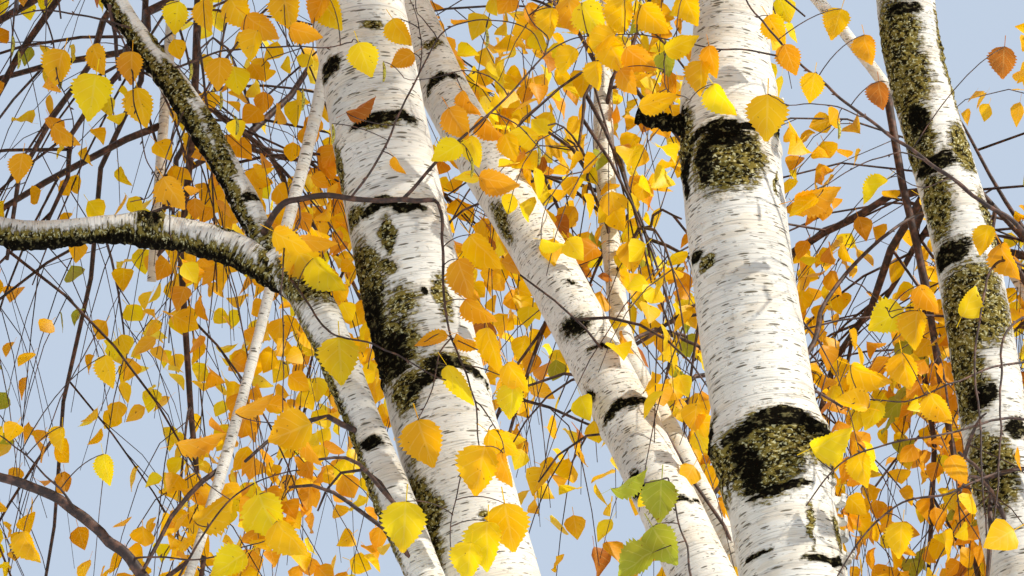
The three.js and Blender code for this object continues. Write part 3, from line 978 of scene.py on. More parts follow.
@dataclass
class FoliageMass:
    """One hanging mass of the crown: an uneven ball, longer below and swung away from the crown's axis."""

    node: str
    number: int
    centre: Array
    half: Array
    outward: Array
    ring: str
    dome_share: float = 0.82
    hang_share: float = 1.18
    hang_swing: float = 0.28

    def reach(self, direction: Array) -> Array:
        """How far the mass reaches in unit directions: one plus three waves."""
        x, y, z = direction[..., 0], direction[..., 1], direction[..., 2]
        return (
            1.0
            + 0.10 * np.sin(3.1 * x + 2.3 * y + 1.7 * self.number)
            + 0.08 * np.sin(4.3 * y - 3.7 * z + 2.9 * self.number)
            + 0.06 * np.sin(4.1 * x + 5.1 * z + 0.7 * self.number)
        )

    def place(self, direction: Array, share: Array) -> Array:
        """Points of the mass, by direction and by share of the way out."""
        reach = (self.reach(direction) * share)[..., None]
        swing = self.hang_swing * np.maximum(0.0, -direction[..., 2:3]) * reach
        rise = np.where(direction[..., 2:3] > 0, self.dome_share, self.hang_share)
        scale = np.concatenate([np.ones_like(rise), np.ones_like(rise), rise], -1)
        return self.centre + (direction * reach * scale + self.outward * swing) * self.half

    def depth(self, points: Array) -> Array:
        """The share of the way out at which points lie: below 1 is inside."""
        local = (points - self.centre) / self.half
        rise = np.where(local[..., 2:3] > 0, self.dome_share, self.hang_share)
        local = np.concatenate([local[..., :2], local[..., 2:3] / rise], -1)
        local = local - self.outward * (self.hang_swing * np.maximum(0.0, -local[..., 2:3]))
        size = np.linalg.norm(local, axis=-1)
        return size / self.reach(local / np.maximum(size, 1e-6)[..., None])


@dataclass(frozen=True)
class CrownRing:
    """A ring of masses round the crown's axis, with how high their boughs leave the stems."""

    turns: tuple[float, ...]
    radius: float
    height: float
    half: Pair
    lift: float
    leaves: Pair
    bough_radii: Pair


FRINGE = CrownRing((0.3, 0.5, 0.71), 1.75, 4.25, (0.64, 0.9), 0.0, (3.5, 4.1), (0.015, 0.007))
SKIRT = CrownRing(
    (0.07, 0.33, 0.44, 0.56, 0.68, 0.81, 0.93), 2.3, 5.5, (0.93, 1.42), 1.3, (6.1, 6.9), (0.017, 0.008)
)
SHOULDER = CrownRing(
    (0.03, 0.2, 0.37, 0.52, 0.7, 0.86), 1.5, 8.0, (0.9, 1.25), 0.75, (6.6, 7.7), (0.016, 0.008)
)
UPPER = CrownRing((0.12, 0.4, 0.63, 0.88), 0.93, 9.8, (0.76, 1.15), 0.0, (8.3, 9.2), (0.013, 0.006))
RINGS = {"fringe": FRINGE, "skirt": SKIRT, "shoulder": SHOULDER, "upper": UPPER}
BESIDE = {
    "leaves_on_rising_bough": ((-1.48, -0.04, 5.12), (0.15, 0.12, 0.17)),
    "leaves_before_left_stem": ((-1.075, -0.13, 4.33), (0.17, 0.13, 0.15)),
    "leaves_before_right_stem": ((-0.33, -0.03, 4.33), (0.18, 0.15, 0.19)),
    "leaves_on_hanging_bough": ((-1.56, 0.96, 4.33), (0.26, 0.22, 0.33)),
}


@dataclass
class Crown:
    """The plan of the crown: the masses, and the bough that carries each."""

    stems: Sequence[Stem]
    axis: Pair = (-0.75, 0.3)
    radius_sway: float = 0.09
    height_sway: float = 0.3
    size_sway: float = 0.13
    top_half: Pair = (0.62, 1.3)
    top_drop: float = 0.95
    bough_reach: float = 0.45
    bough_rise: float = 0.3
    bough_entry: float = 0.1
    golden_share: float = 0.382
    inner_number: int = 60
    inner_heights: tuple[float, ...] = (6.3, 7.5, 8.7, 9.8)
    inner_half: Point = (0.62, 0.62, 0.75)
    fork_heights: tuple[float, ...] = (5.02, 5.4, 5.85)
    fork_half: Point = (0.3, 0.3, 0.38)
    fork_shift: float = 0.04

    def masses(self) -> list[FoliageMass]:
        """All masses of the crown, in the order of the solids."""
        made: list[FoliageMass] = []
        for name, ring in RINGS.items():
            for k, turn in enumerate(ring.turns):
                number = len(made) + 1
                angle = -np.pi / 2 + turn * 2 * np.pi
                outward = np.array([np.cos(angle), np.sin(angle), 0.0])
                radius = ring.radius * (1 + self.radius_sway * np.sin(2.4 * number))
                front = max(0.0, float(np.cos(turn * 2 * np.pi)))
                size = 1 + self.size_sway * np.sin(1.7 * number + 0.8)
                height = ring.height + ring.lift * front + self.height_sway * np.cos(1.9 * number)
                across, up = ring.half
                centre = np.array([self.axis[0], self.axis[1], height]) + radius * outward
                half = np.array([across, across, up]) * size
                made.append(FoliageMass(f"foliage_{name}_{k + 1}", number, centre, half, outward, name))
        for stem in self.stems:
            x, y, z = stem.stations[-1]
            across, up = self.top_half
            centre, half = np.array([x, y, z - self.top_drop]), np.array([across, across, up])
            node = f"foliage_top_{stem.name.removeprefix('stem_')}"
            made.append(FoliageMass(node, len(made) + 1, centre, half, np.zeros(3), "top"))
        for name, (centre, half) in BESIDE.items():
            mass = (f"foliage_{name}", len(made) + 1, np.array(centre), np.array(half), np.zeros(3), "beside")
            made.append(FoliageMass(*mass))
        return made

    def inner_masses(self, back_fork: "Limb") -> list[FoliageMass]:
        """Small masses along the stems and the back fork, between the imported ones."""
        made = []
        spots = [(*spot, self.inner_half, "inner") for spot in product(self.stems, self.inner_heights)]
        spots += [(back_fork, height, self.fork_half, "fork") for height in self.fork_heights]
        for k, (tube, height, half, ring) in enumerate(spots):
            centre = tube.at_height(height)
            centre[1] += self.fork_shift if ring == "fork" else 0.0
            mass = (f"inner_{k}", self.inner_number + k, centre, np.array(half), np.zeros(3), ring)
            made.append(FoliageMass(*mass))
        return made

    def bough(self, mass: FoliageMass, points: int = 26) -> tuple[Array, Array]:
        """The bough of a ring's mass: it leaves the nearest stem steeply, arches over and enters the mass.

        Returns:
            The bough's points, (points, 3), and its radii, (points,).
        """
        ring = RINGS[mass.ring]
        low, high = ring.leaves
        height = low + (high - low) * ((mass.number * self.golden_share) % 1)
        starts = [stem.at_height(height) for stem in self.stems]
        start = min(starts, key=lambda p: float(np.hypot(p[0] - mass.centre[0], p[1] - mass.centre[1])))
        goal = mass.centre + UP * self.bough_entry * mass.half[2]
        flat = np.array([goal[0] - start[0], goal[1] - start[1], 0.0])
        crest = start + self.bough_reach * flat
        crest[2] = max(start[2] + self.bough_rise * np.linalg.norm(flat), goal[2])
        curve = bent_curves(start[None], crest[None], goal[None], points)[0]
        return curve, np.linspace(*ring.bough_radii, points)

    def carriers(
        self, masses: list[FoliageMass], limbs: dict[str, "Limb"], boughs: MeshDraft
    ) -> dict[str, Array]:
        """What carries each mass: its bough, the tip of its stem, or the limb beside the stems it sits on.

        Args:
            masses: the masses of the crown.
            limbs: the single limbs by name.
            boughs: the mesh that takes the boughs.

        Returns:
            Points to grow from, by the mass's node.
        """
        found: dict[str, Array] = {}
        for mass in masses:
            if mass.ring in RINGS:
                curve, radii = self.bough(mass)
                add_tubes(boughs, curve[None], radii[None], 12, bark=True)
                inside = mass.depth(curve) < 1.0
                found[mass.node] = curve[inside] if inside.sum() > 3 else curve[-5:]
            elif mass.ring != "beside":
                low, middle, high = mass.centre[2] + mass.half[2] * np.array([-0.9, 0.0, 1.0])
                lines = [StationCurve(tube.stations) for tube in (*self.stems, limbs["back_fork"])]
                gaps = [np.linalg.norm(line.at_height(np.array([middle]))[0] - mass.centre) for line in lines]
                line = lines[int(np.argmin(gaps))]
                found[mass.node] = line.at_height(np.linspace(low, min(high, line.points[-1, 2]), 20))
        for node, limb, low, high in (
            ("foliage_leaves_on_rising_bough", "rising_bough", 0.3, 0.75),
            ("foliage_leaves_before_left_stem", "fork_limb", 0.55, 0.9),
            ("foliage_leaves_on_hanging_bough", "hanging_bough", 1.9, 2.3),
        ):
            found[node] = StationCurve(limbs[limb].stations).at(np.linspace(low, high, 12))
        right = next(stem for stem in self.stems if stem.name == "stem_right")
        heights = np.linspace(4.15, 4.5, 12)
        found["foliage_leaves_before_right_stem"] = StationCurve(right.stations).at_height(heights)
        return found


@dataclass(frozen=True)
class Opening:
    """A place in the camera's frame where leaves stand thinner, or closer, than round about.

    Its place and half sizes are pixels of the frame. The share multiplies how many leaves stay there.
    """

    across: float
    down: float
    half_width: float
    half_height: float
    share: float


@dataclass
class View:
    """The photograph's camera: a long lens at eye height before the tree, looking up at the stems."""

    place: Point = (-0.9, -5.74, 1.6)
    aim: Point = (-0.9, 0.0, 4.65)
    lens_mm: float = 182.8
    sensor_mm: float = 36.0
    width: int = 1024
    height: int = 576
    leaf_share: float = 0.46
    leaf_size: float = 0.8
    openings: tuple[Opening, ...] = tuple(Opening(*row) for row in (
        (20, 310, 120, 170, 0.15), (60, 400, 150, 130, 0.5), (200, 150, 110, 60, 0.6),
        (268, 130, 70, 100, 0.35), (240, 330, 60, 50, 0.5), (640, 250, 40, 60, 0.8), (850, 150, 60, 110, 0.6),
        (790, 90, 60, 90, 2.2), (540, 330, 50, 60, 1.6), (880, 440, 90, 160, 0.8), (990, 80, 60, 110, 2.4),
        (100, 330, 50, 80, 1.6), (70, 530, 110, 60, 0.4), (608, 190, 40, 110, 1.6), (90, 90, 190, 140, 0.5),
        (600, 110, 140, 190, 2.6), (590, 500, 100, 120, 0.95),
    ))

    def __post_init__(self) -> None:
        """Work out the camera's axes and its focal length in pixels."""
        self.eye = np.array(self.place)
        self.ahead = unit(np.array(self.aim) - self.eye)
        self.right = unit(np.cross(self.ahead, UP))
        self.up = np.cross(self.right, self.ahead)
        self.focal = self.lens_mm / self.sensor_mm * self.width

    def point(self, across: float, down: float, depth: float) -> Array:
        """The point seen at a pixel, in the plane y = depth."""
        aside = self.right * (across - self.width / 2) / self.focal
        way = self.ahead + aside + self.up * (self.height / 2 - down) / self.focal
        return self.eye + way * (depth - self.eye[1]) / way[1]

    def pixels(self, points: Array) -> tuple[Array, Array]:
        """Where points are seen: pixels across and down."""
        away = points - self.eye
        far = np.maximum(away @ self.ahead, 0.01)
        across = self.width / 2 + (away @ self.right) / far * self.focal
        return across, self.height / 2 - (away @ self.up) / far * self.focal

    def sees(self, points: Array, margin: float = 60.0) -> Array:
        """Whether points lie in the camera's frame, widened by a margin in pixels."""
        across, down = self.pixels(points)
        inside = (across > -margin) & (across < self.width + margin)
        return inside & (down > -margin) & (down < self.height + margin)

    def growth_share(self, points: Array) -> Array:
        """How richly twigs and leaves grow in the frame: below 1 where it is open, and 1 outside it."""
        across, down = self.pixels(points)
        share = np.ones(across.shape)
        for gap in self.openings:
            away = np.hypot((across - gap.across) / gap.half_width, (down - gap.down) / gap.half_height)
            share = share * (1.0 + (gap.share - 1.0) * smooth_step(-away, -1.2, -0.6))
        return np.where(self.sees(points), share, 1.0)

    def leaf_odds(self, points: Array) -> Array:
        """The odds that a leaf stays on its twig: all outside the frame, and a share of them in it."""
        share = self.growth_share(points)
        odds = self.leaf_share * np.maximum(share, np.sqrt(share))
        return np.where(self.sees(points), odds, 1.0)


@dataclass
class LeafShape:
    """The outline and folds of a birch leaf, one unit long from the foot of the blade to its tip.

    The blade is a grid of two parameters: u along the midrib and v across. Its half width rises quickly
    to 0.43 near a third of the way and falls to a drawn-out tip. The halves fold up from the midrib, and
    the tip curls down.
    """

    form: LeafForm
    teeth: float = 0.09

    def half_width(self, u: Array) -> Array:
        """Half width of the blade along the midrib."""
        stations = [0.0, 0.03, 0.10, 0.20, 0.30, 0.42, 0.55, 0.68, 0.80, 0.90, 1.0]
        return np.interp(u, stations, [0.03, 0.20, 0.35, 0.44, 0.46, 0.43, 0.36, 0.26, 0.15, 0.07, 0.01])

    def grid(self) -> tuple[Array, Array, Array]:
        """Corners (n, 3), faces (m, 4) and blade places (n, 2) of one leaf."""
        if self.form is LeafForm.PLAIN:
            half = [[0.40, 0.26, 0.08], [0.24, 0.64, 0.03]]
            other = [[-x, y, z] for x, y, z in reversed(half)]
            corners = np.array([[0, 0, 0], *half, [0, 1, -0.06], *other], dtype=float)
            return corners, np.array([[0, 1, 2, 3], [0, 3, 4, 5]]), np.zeros((6, 2))
        fine = self.form is LeafForm.FINE
        rows = np.linspace(0.0, 1.0, 23) if fine else np.array([0.0, 0.09, 0.28, 0.52, 0.78, 1.0])
        columns = np.array([-1.0, -0.6, 0.0, 0.6, 1.0] if fine else [-1.0, 0.0, 1.0])
        teeth = self.teeth if fine else 0.0
        across, along = np.meshgrid(columns, rows)
        inner = (along > 0.06) & (along < 0.98)
        saw = np.where(np.arange(len(rows))[:, None] % 2 == 0, teeth, -teeth) * np.abs(across) ** 3
        x = across * self.half_width(along) * (1.0 + inner * saw)
        y = along + 0.05 * np.abs(across) * inner
        z = 0.30 * np.abs(x) - 0.10 * along**2 + 0.02 * np.sin(along * 9.0 + across * 2.0)
        blade = np.stack([x, y, z], -1).reshape(-1, 3)
        stalk = [[-0.013, -0.34, 0.03], [0.013, -0.34, 0.03], [0.011, 0.02, 0.0], [-0.011, 0.02, 0.0]]
        faces = np.concatenate([grid_faces(len(rows), len(columns), False), [np.arange(4) + len(blade)]])
        places = np.concatenate([np.stack([across, along], -1).reshape(-1, 2), np.zeros((4, 2))])
        return np.concatenate([blade, stalk]), faces, places


@dataclass
class LeafPile:
    """Leaves gathered for one piece: where each stands, how it is turned, its size, tint and form."""

    rows: list[tuple[Array, ...]] = field(default_factory=list)
    curl_seed: int = 5

    def add(self, feet: Array, axes: Array, facing: Array, sizes: Array, tints: Array, forms: Array) -> None:
        """Add leaves.

        Args:
            feet: where the blades start, (n, 3).
            axes: unit directions from foot to tip, (n, 3).
            facing: directions that the upper sides look, (n, 3).
            sizes: blade lengths in metres, (n,).
            tints: numbers of the tints, (n,).
            forms: numbers of the forms, (n,).
        """
        self.rows.append((feet, axes, facing, sizes, tints, forms))

    def draft(self) -> MeshDraft:
        """All leaves as one mesh draft, each with its own strength of fold and curl."""
        feet, axes, facing, sizes, tints, forms = (np.concatenate(block) for block in zip(*self.rows))
        side = unit(np.cross(axes, facing))
        normal = np.cross(side, axes)
        curl = np.random.default_rng(self.curl_seed).uniform(0.3, 2.2, len(feet))
        made = MeshDraft()
        for form in LeafForm:
            chosen = np.flatnonzero(forms == form.value)
            if not len(chosen):
                continue
            corners, faces, places = LeafShape(form).grid()
            local = corners[None, :, 0:1] * side[chosen, None] + corners[None, :, 1:2] * axes[chosen, None]
            local = local + corners[None, :, 2:3] * curl[chosen, None, None] * normal[chosen, None]
            whole = feet[chosen, None] + local * sizes[chosen, None, None]
            numbered = (faces[None] + np.arange(len(chosen))[:, None, None] * len(corners)).reshape(-1, 4)
            blade = np.broadcast_to(places[None], (len(chosen), *places.shape))
            made.add(whole, [numbered], np.repeat(tints[chosen], len(faces)), blade=blade)
        return made


@dataclass(frozen=True)
class Order:
    """One order of branching: the shape of its curves, and how they set out from the order before.

    They set out in a mix of the carrier's way, chance, the way out of the mass, and down. Masses whose
    half width is below `full_half` have shorter curves. Tips past `limit` of the mass are left out.
    """

    first: float
    points: int
    radii: Pair
    length: Pair
    sag: Pair
    onward: float
    stray: float
    stray_up: float
    full_half: float
    limit: float
    outward: float = 0.0
    down: float = 0.0


SHOOT = Order(
    0.22, 6, (0.0030, 0.0013), (0.35, 0.75), (0.15, 0.7), onward=0.7, stray=0.9, stray_up=0.45,
    full_half=0.5, limit=1.12, outward=0.25,
)
TWIG = Order(
    0.12, 5, (0.0012, 0.0006), (0.26, 0.55), (0.5, 1.6), onward=0.8, stray=0.85, stray_up=0.4,
    full_half=0.35, limit=1.15, down=0.1,
)


@dataclass
class Growth:
    """The seeded rule by which branches, twigs and leaves grow in a mass from what carries it."""

    view: View
    branches: int = 12
    side_shoots: int = 6
    twigs: int = 7
    leaves: int = 13
    seed: int = 400
    branch_radii: Pair = (0.0080, 0.0030)
    leaf_length: Pair = (0.042, 0.062)
    front_limit: float = -0.42
    golden_angle: float = 2.4
    stalk_length: float = 0.018
    stray_tints: float = 0.16

    def grow(
        self, mass: FoliageMass, carrier: Array, wood: MeshDraft, twigs: MeshDraft, pile: LeafPile
    ) -> None:
        """Grow one mass.

        Args:
            mass: the mass to fill.
            carrier: points of the bough or stem that the branches leave, (n, 3).
            wood: the mesh that takes branches.
            twigs: the mesh that takes twigs.
            pile: the pile that takes leaves.
        """
        draw = np.random.default_rng(self.seed + 31 * mass.number)
        n = self.branches
        direction = unit(draw.normal(0.0, 1.0, (n, 3)) + 0.15 * UP + 0.2 * mass.outward)
        ends = mass.place(direction, draw.uniform(0.5, 0.93, n))
        order = np.argsort(np.argsort(ends[:, 2] + 0.3 * draw.normal(0.0, 1.0, n)))
        shares = np.clip((order + draw.uniform(0.1, 0.9, n)) / n, 0.02, 0.98)
        starts, _ = pick_along(carrier[None], shares[None])
        gap = ends - starts
        rise = 0.22 * np.linalg.norm(gap[:, :2], axis=1, keepdims=True) + 0.05
        limbs = bent_curves(starts, starts + 0.45 * gap + UP * rise, ends, 9)
        limbs[:, 1:] += 0.012 * draw.normal(0.0, 1.0, limbs[:, 1:].shape) * min(1.0, float(mass.half[0]))
        limbs = limbs[~self.blocks(limbs)]
        if not len(limbs):
            return
        add_tubes(wood, limbs, self.radii(draw, self.branch_radii, limbs), 6)

        at, way = pick_along(limbs, self.spread(draw, len(limbs), self.side_shoots, SHOOT.first, 1.0))
        shoots, keep = self.offshoots(draw, mass, at, way, SHOOT)
        shoots = shoots[keep]
        if not len(shoots):
            return
        add_tubes(twigs, shoots, self.radii(draw, SHOOT.radii, shoots), 4)

        at, way = pick_along(shoots, self.spread(draw, len(shoots), self.twigs, TWIG.first, 1.0))
        tint = np.repeat(self.tints(draw, shoots[:, -1]), self.twigs)
        hung, keep = self.offshoots(draw, mass, at, way, TWIG)
        self.dress(draw, hung[keep], tint[keep], twigs, pile)

    def offshoots(
        self, draw: Draw, mass: FoliageMass, at: Array, way: Array, order: Order
    ) -> tuple[Array, Array]:
        """Curves of one order of branching.

        Args:
            draw: the source of chance.
            mass: the mass that they fill.
            at: where they start, (n, 3).
            way: the way of the wood that carries them, (n, 3).
            order: their shape.

        Returns:
            Their points, (n, points, 3), and whether each stays, (n,).
        """
        stray = draw.normal(0.0, 1.0, at.shape) * np.array([1.0, 1.0, order.stray_up])
        out = order.onward * way + order.stray * stray + order.outward * unit(at - mass.centre)
        length = draw.uniform(*order.length, len(at)) * min(1.0, float(mass.half[0]) / order.full_half)
        sag = draw.uniform(*order.sag, len(at))
        curves = hanging_curves(at, unit(out + order.down * DOWN), length, sag, order.points)
        inside = mass.depth(curves[:, -1]) < order.limit
        return curves, ~self.blocks(curves) & inside & self.chance(draw, curves)

    def dress(self, draw: Draw, hung: Array, tint: Array, twigs: MeshDraft, pile: LeafPile) -> None:
        """Set leaves along twigs, turned by the golden angle from one to the next, and add the twigs."""
        add_tubes(twigs, hung, self.radii(draw, TWIG.radii, hung), 3)
        at, way = pick_along(hung, self.spread(draw, len(hung), self.leaves, 0.08, 1.0))
        turn = np.tile(np.arange(self.leaves) * self.golden_angle, len(hung))
        turn = turn + np.repeat(draw.uniform(0, 6.3, len(hung)), self.leaves)
        spare = np.where(np.abs(way[:, 2:3]) < 0.8, UP, np.array([1.0, 0.0, 0.0]))
        side = unit(np.cross(way, spare))
        out = np.cos(turn)[:, None] * side + np.sin(turn)[:, None] * np.cross(way, side)
        stray = draw.normal(0.0, 1.0, at.shape)
        axes = unit(0.65 * out + 0.25 * way + DOWN * draw.uniform(0.2, 1.1, (len(at), 1)) + 0.25 * stray)
        feet = at + self.stalk_length * unit(out + 0.6 * axes)
        facing = unit(draw.normal(0.0, 1.0, at.shape) + 0.7 * UP)
        sizes = draw.uniform(*self.leaf_length, len(at))
        tints = np.repeat(tint, self.leaves)
        tints = np.where(draw.random(len(at)) < self.stray_tints, draw.integers(0, 3, len(at)), tints)
        tips = feet + axes * sizes[:, None]
        seen = self.view.sees(tips)
        sizes = np.where(seen, self.view.leaf_size * sizes, sizes)
        keep = draw.random(len(at)) < self.view.leaf_odds(tips)
        keep &= ~(seen & (tips[:, 1] < self.front_limit))
        forms = np.where(seen, LeafForm.MIDDLE.value, LeafForm.PLAIN.value)
        pile.add(feet[keep], axes[keep], facing[keep], sizes[keep], tints[keep], forms[keep])

    def blocks(self, curves: Array) -> Array:
        """Whether curves pass before the stems in the camera's frame."""
        return np.any(self.view.sees(curves) & (curves[..., 1] < self.front_limit), axis=1)

    def chance(self, draw: Draw, curves: Array) -> Array:
        """Whether curves stay: fewer where the camera's frame is open."""
        return draw.random(len(curves)) ** 2 < self.view.growth_share(curves[:, -1])

    @staticmethod
    def radii(draw: Draw, limits: Pair, curves: Array) -> Array:
        """Radii that fall evenly along each curve, with a size of its own for each."""
        return np.linspace(*limits, curves.shape[1])[None] * draw.uniform(0.8, 1.15, len(curves))[:, None]

    @staticmethod
    def spread(draw: Draw, curves: int, picks: int, low: float, high: float) -> Array:
        """Shares spread evenly along curves, each moved a little."""
        even = (np.arange(picks)[None] + draw.uniform(0.05, 0.95, (curves, picks))) / picks
        return low + (high - low) * even

    @staticmethod
    def tints(draw: Draw, places: Array) -> Array:
        """Tints dealt out by spray: a slow drift over the crown moves the odds, and chance does the rest."""
        edges = np.cumsum([tint.share for tint in Tint])
        pick = np.clip(draw.random(len(places)) + 0.18 * layered_noise(places * 0.9, 77, 2), 0.0, 0.999)
        return np.searchsorted(edges, pick).clip(0, len(Tint) - 1)


@dataclass
class CrownPieces:
    """The crown's meshes: leaves, twigs, branches and boughs, joined each kind apart."""

    crown: Crown
    limbs: dict[str, Limb]
    view: View

    def plans(self) -> dict[str, Growth]:
        """How richly each kind of mass grows."""
        return {
            "fringe": Growth(self.view, 8),
            "skirt": Growth(self.view, 14),
            "shoulder": Growth(self.view, 11),
            "upper": Growth(self.view, 10),
            "top": Growth(self.view, 9),
            "inner": Growth(self.view, 6, 4, 5, 9, branch_radii=(0.0042, 0.0020)),
            "fork": Growth(self.view, 7, 4, 4, 7, branch_radii=(0.0036, 0.0018)),
            "beside": Growth(self.view, 3, 3, 3, 5, branch_radii=(0.0042, 0.0020)),
        }

    def parts(self, masses: list[FoliageMass]) -> dict[str, list[FoliageMass]]:
        """Which masses' leaves are joined in one piece."""
        of = {ring: [mass for mass in masses if mass.ring == ring] for ring in self.plans()}
        return {
            "low": of["fringe"] + of["beside"],
            "skirt_right": of["skirt"][:3],
            "skirt_left": of["skirt"][3:],
            "shoulder_right": of["shoulder"][:3],
            "shoulder_left": of["shoulder"][3:],
            "upper": of["upper"],
            "tops": of["top"],
            "inner": of["inner"] + of["fork"],
        }

    def build(self, bark: Material, twig_bark: Material, leaves: list[Material]) -> None:
        """Grow every mass and make the pieces."""
        masses = self.crown.masses() + self.crown.inner_masses(self.limbs["back_fork"])
        boughs, wood, twigs = MeshDraft(), MeshDraft(), MeshDraft()
        found = self.crown.carriers(masses, self.limbs, boughs)
        plans = self.plans()
        for name, members in self.parts(masses).items():
            pile = LeafPile()
            for mass in members:
                plans[mass.ring].grow(mass, found[mass.node], wood, twigs, pile)
            nodes = [mass.node for mass in members if mass.node.startswith("foliage_")]
            pile.draft().build(f"leaves_{name}", leaves, "autumn_leaves", nodes)
            if name in ("skirt_right", "skirt_left", "shoulder_left", "inner"):
                twigs.build(f"twigs_to_{name}", [twig_bark], "dark_twig_bark")
                twigs = MeshDraft()
        wood.build("crown_branches", [twig_bark], "dark_twig_bark")
        arches = [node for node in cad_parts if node.startswith("bough_")]
        boughs.build("crown_boughs", [bark], "white_birch_bark", arches)


@dataclass(frozen=True)
class NearTwig:
    """A twig near the stems: the pixels at which the photograph shows it, its depths and its radii.

    It starts on the wood that is seen nearest to its first pixel. Depths are y in metres at a third of
    the way and at its end.
    """

    seen: tuple[Pair, ...]
    depths: Pair
    radii: Pair

    def curve(self, view: View, wood: Array, step: float = 0.008) -> tuple[Array, Array]:
        """Points and radii along the twig, with the small crooks that a twig makes at its buds."""
        across, down = view.pixels(wood)
        root = wood[np.argmin(np.hypot(across - self.seen[0][0], down - self.seen[0][1]))]
        share = np.linspace(0.0, 1.0, len(self.seen))[1:]
        depth = np.interp(share, [0.0, 0.33, 1.0], [root[1], *self.depths])
        after = [tuple(view.point(*pixel, away)) for pixel, away in zip(self.seen[1:], depth)]
        smooth = StationCurve([tuple(root), *after])
        count = max(8, int(smooth.length / step))
        points = smooth.at(np.linspace(0.0, smooth.length, count))
        crook = layered_noise(points * 26.0, int(self.seen[0][0]) + 3, 2)
        points[1:-1] += 0.0022 * crook[1:-1, None] * (view.right + view.up)
        return points, np.linspace(*self.radii, count) * (1.0 + 0.10 * layered_noise(points * 80.0, 9, 1))


@dataclass(frozen=True)
class NearLeaf:
    """A leaf near the stems: the pixel of its middle, its blade's length in millimetres, and how it is set.

    The way of the tip is in degrees in the camera's frame, 0 to the right and 90 up. The turn is how far
    its face is turned from the camera about the midrib, in degrees.
    """

    across: float
    down: float
    length_mm: float
    way: float
    turn: float
    tint: Tint


@dataclass(frozen=True)
class NearCatkin:
    """A catkin near the stems: the pixel of its middle and its length in millimetres."""

    across: float
    down: float
    length_mm: float


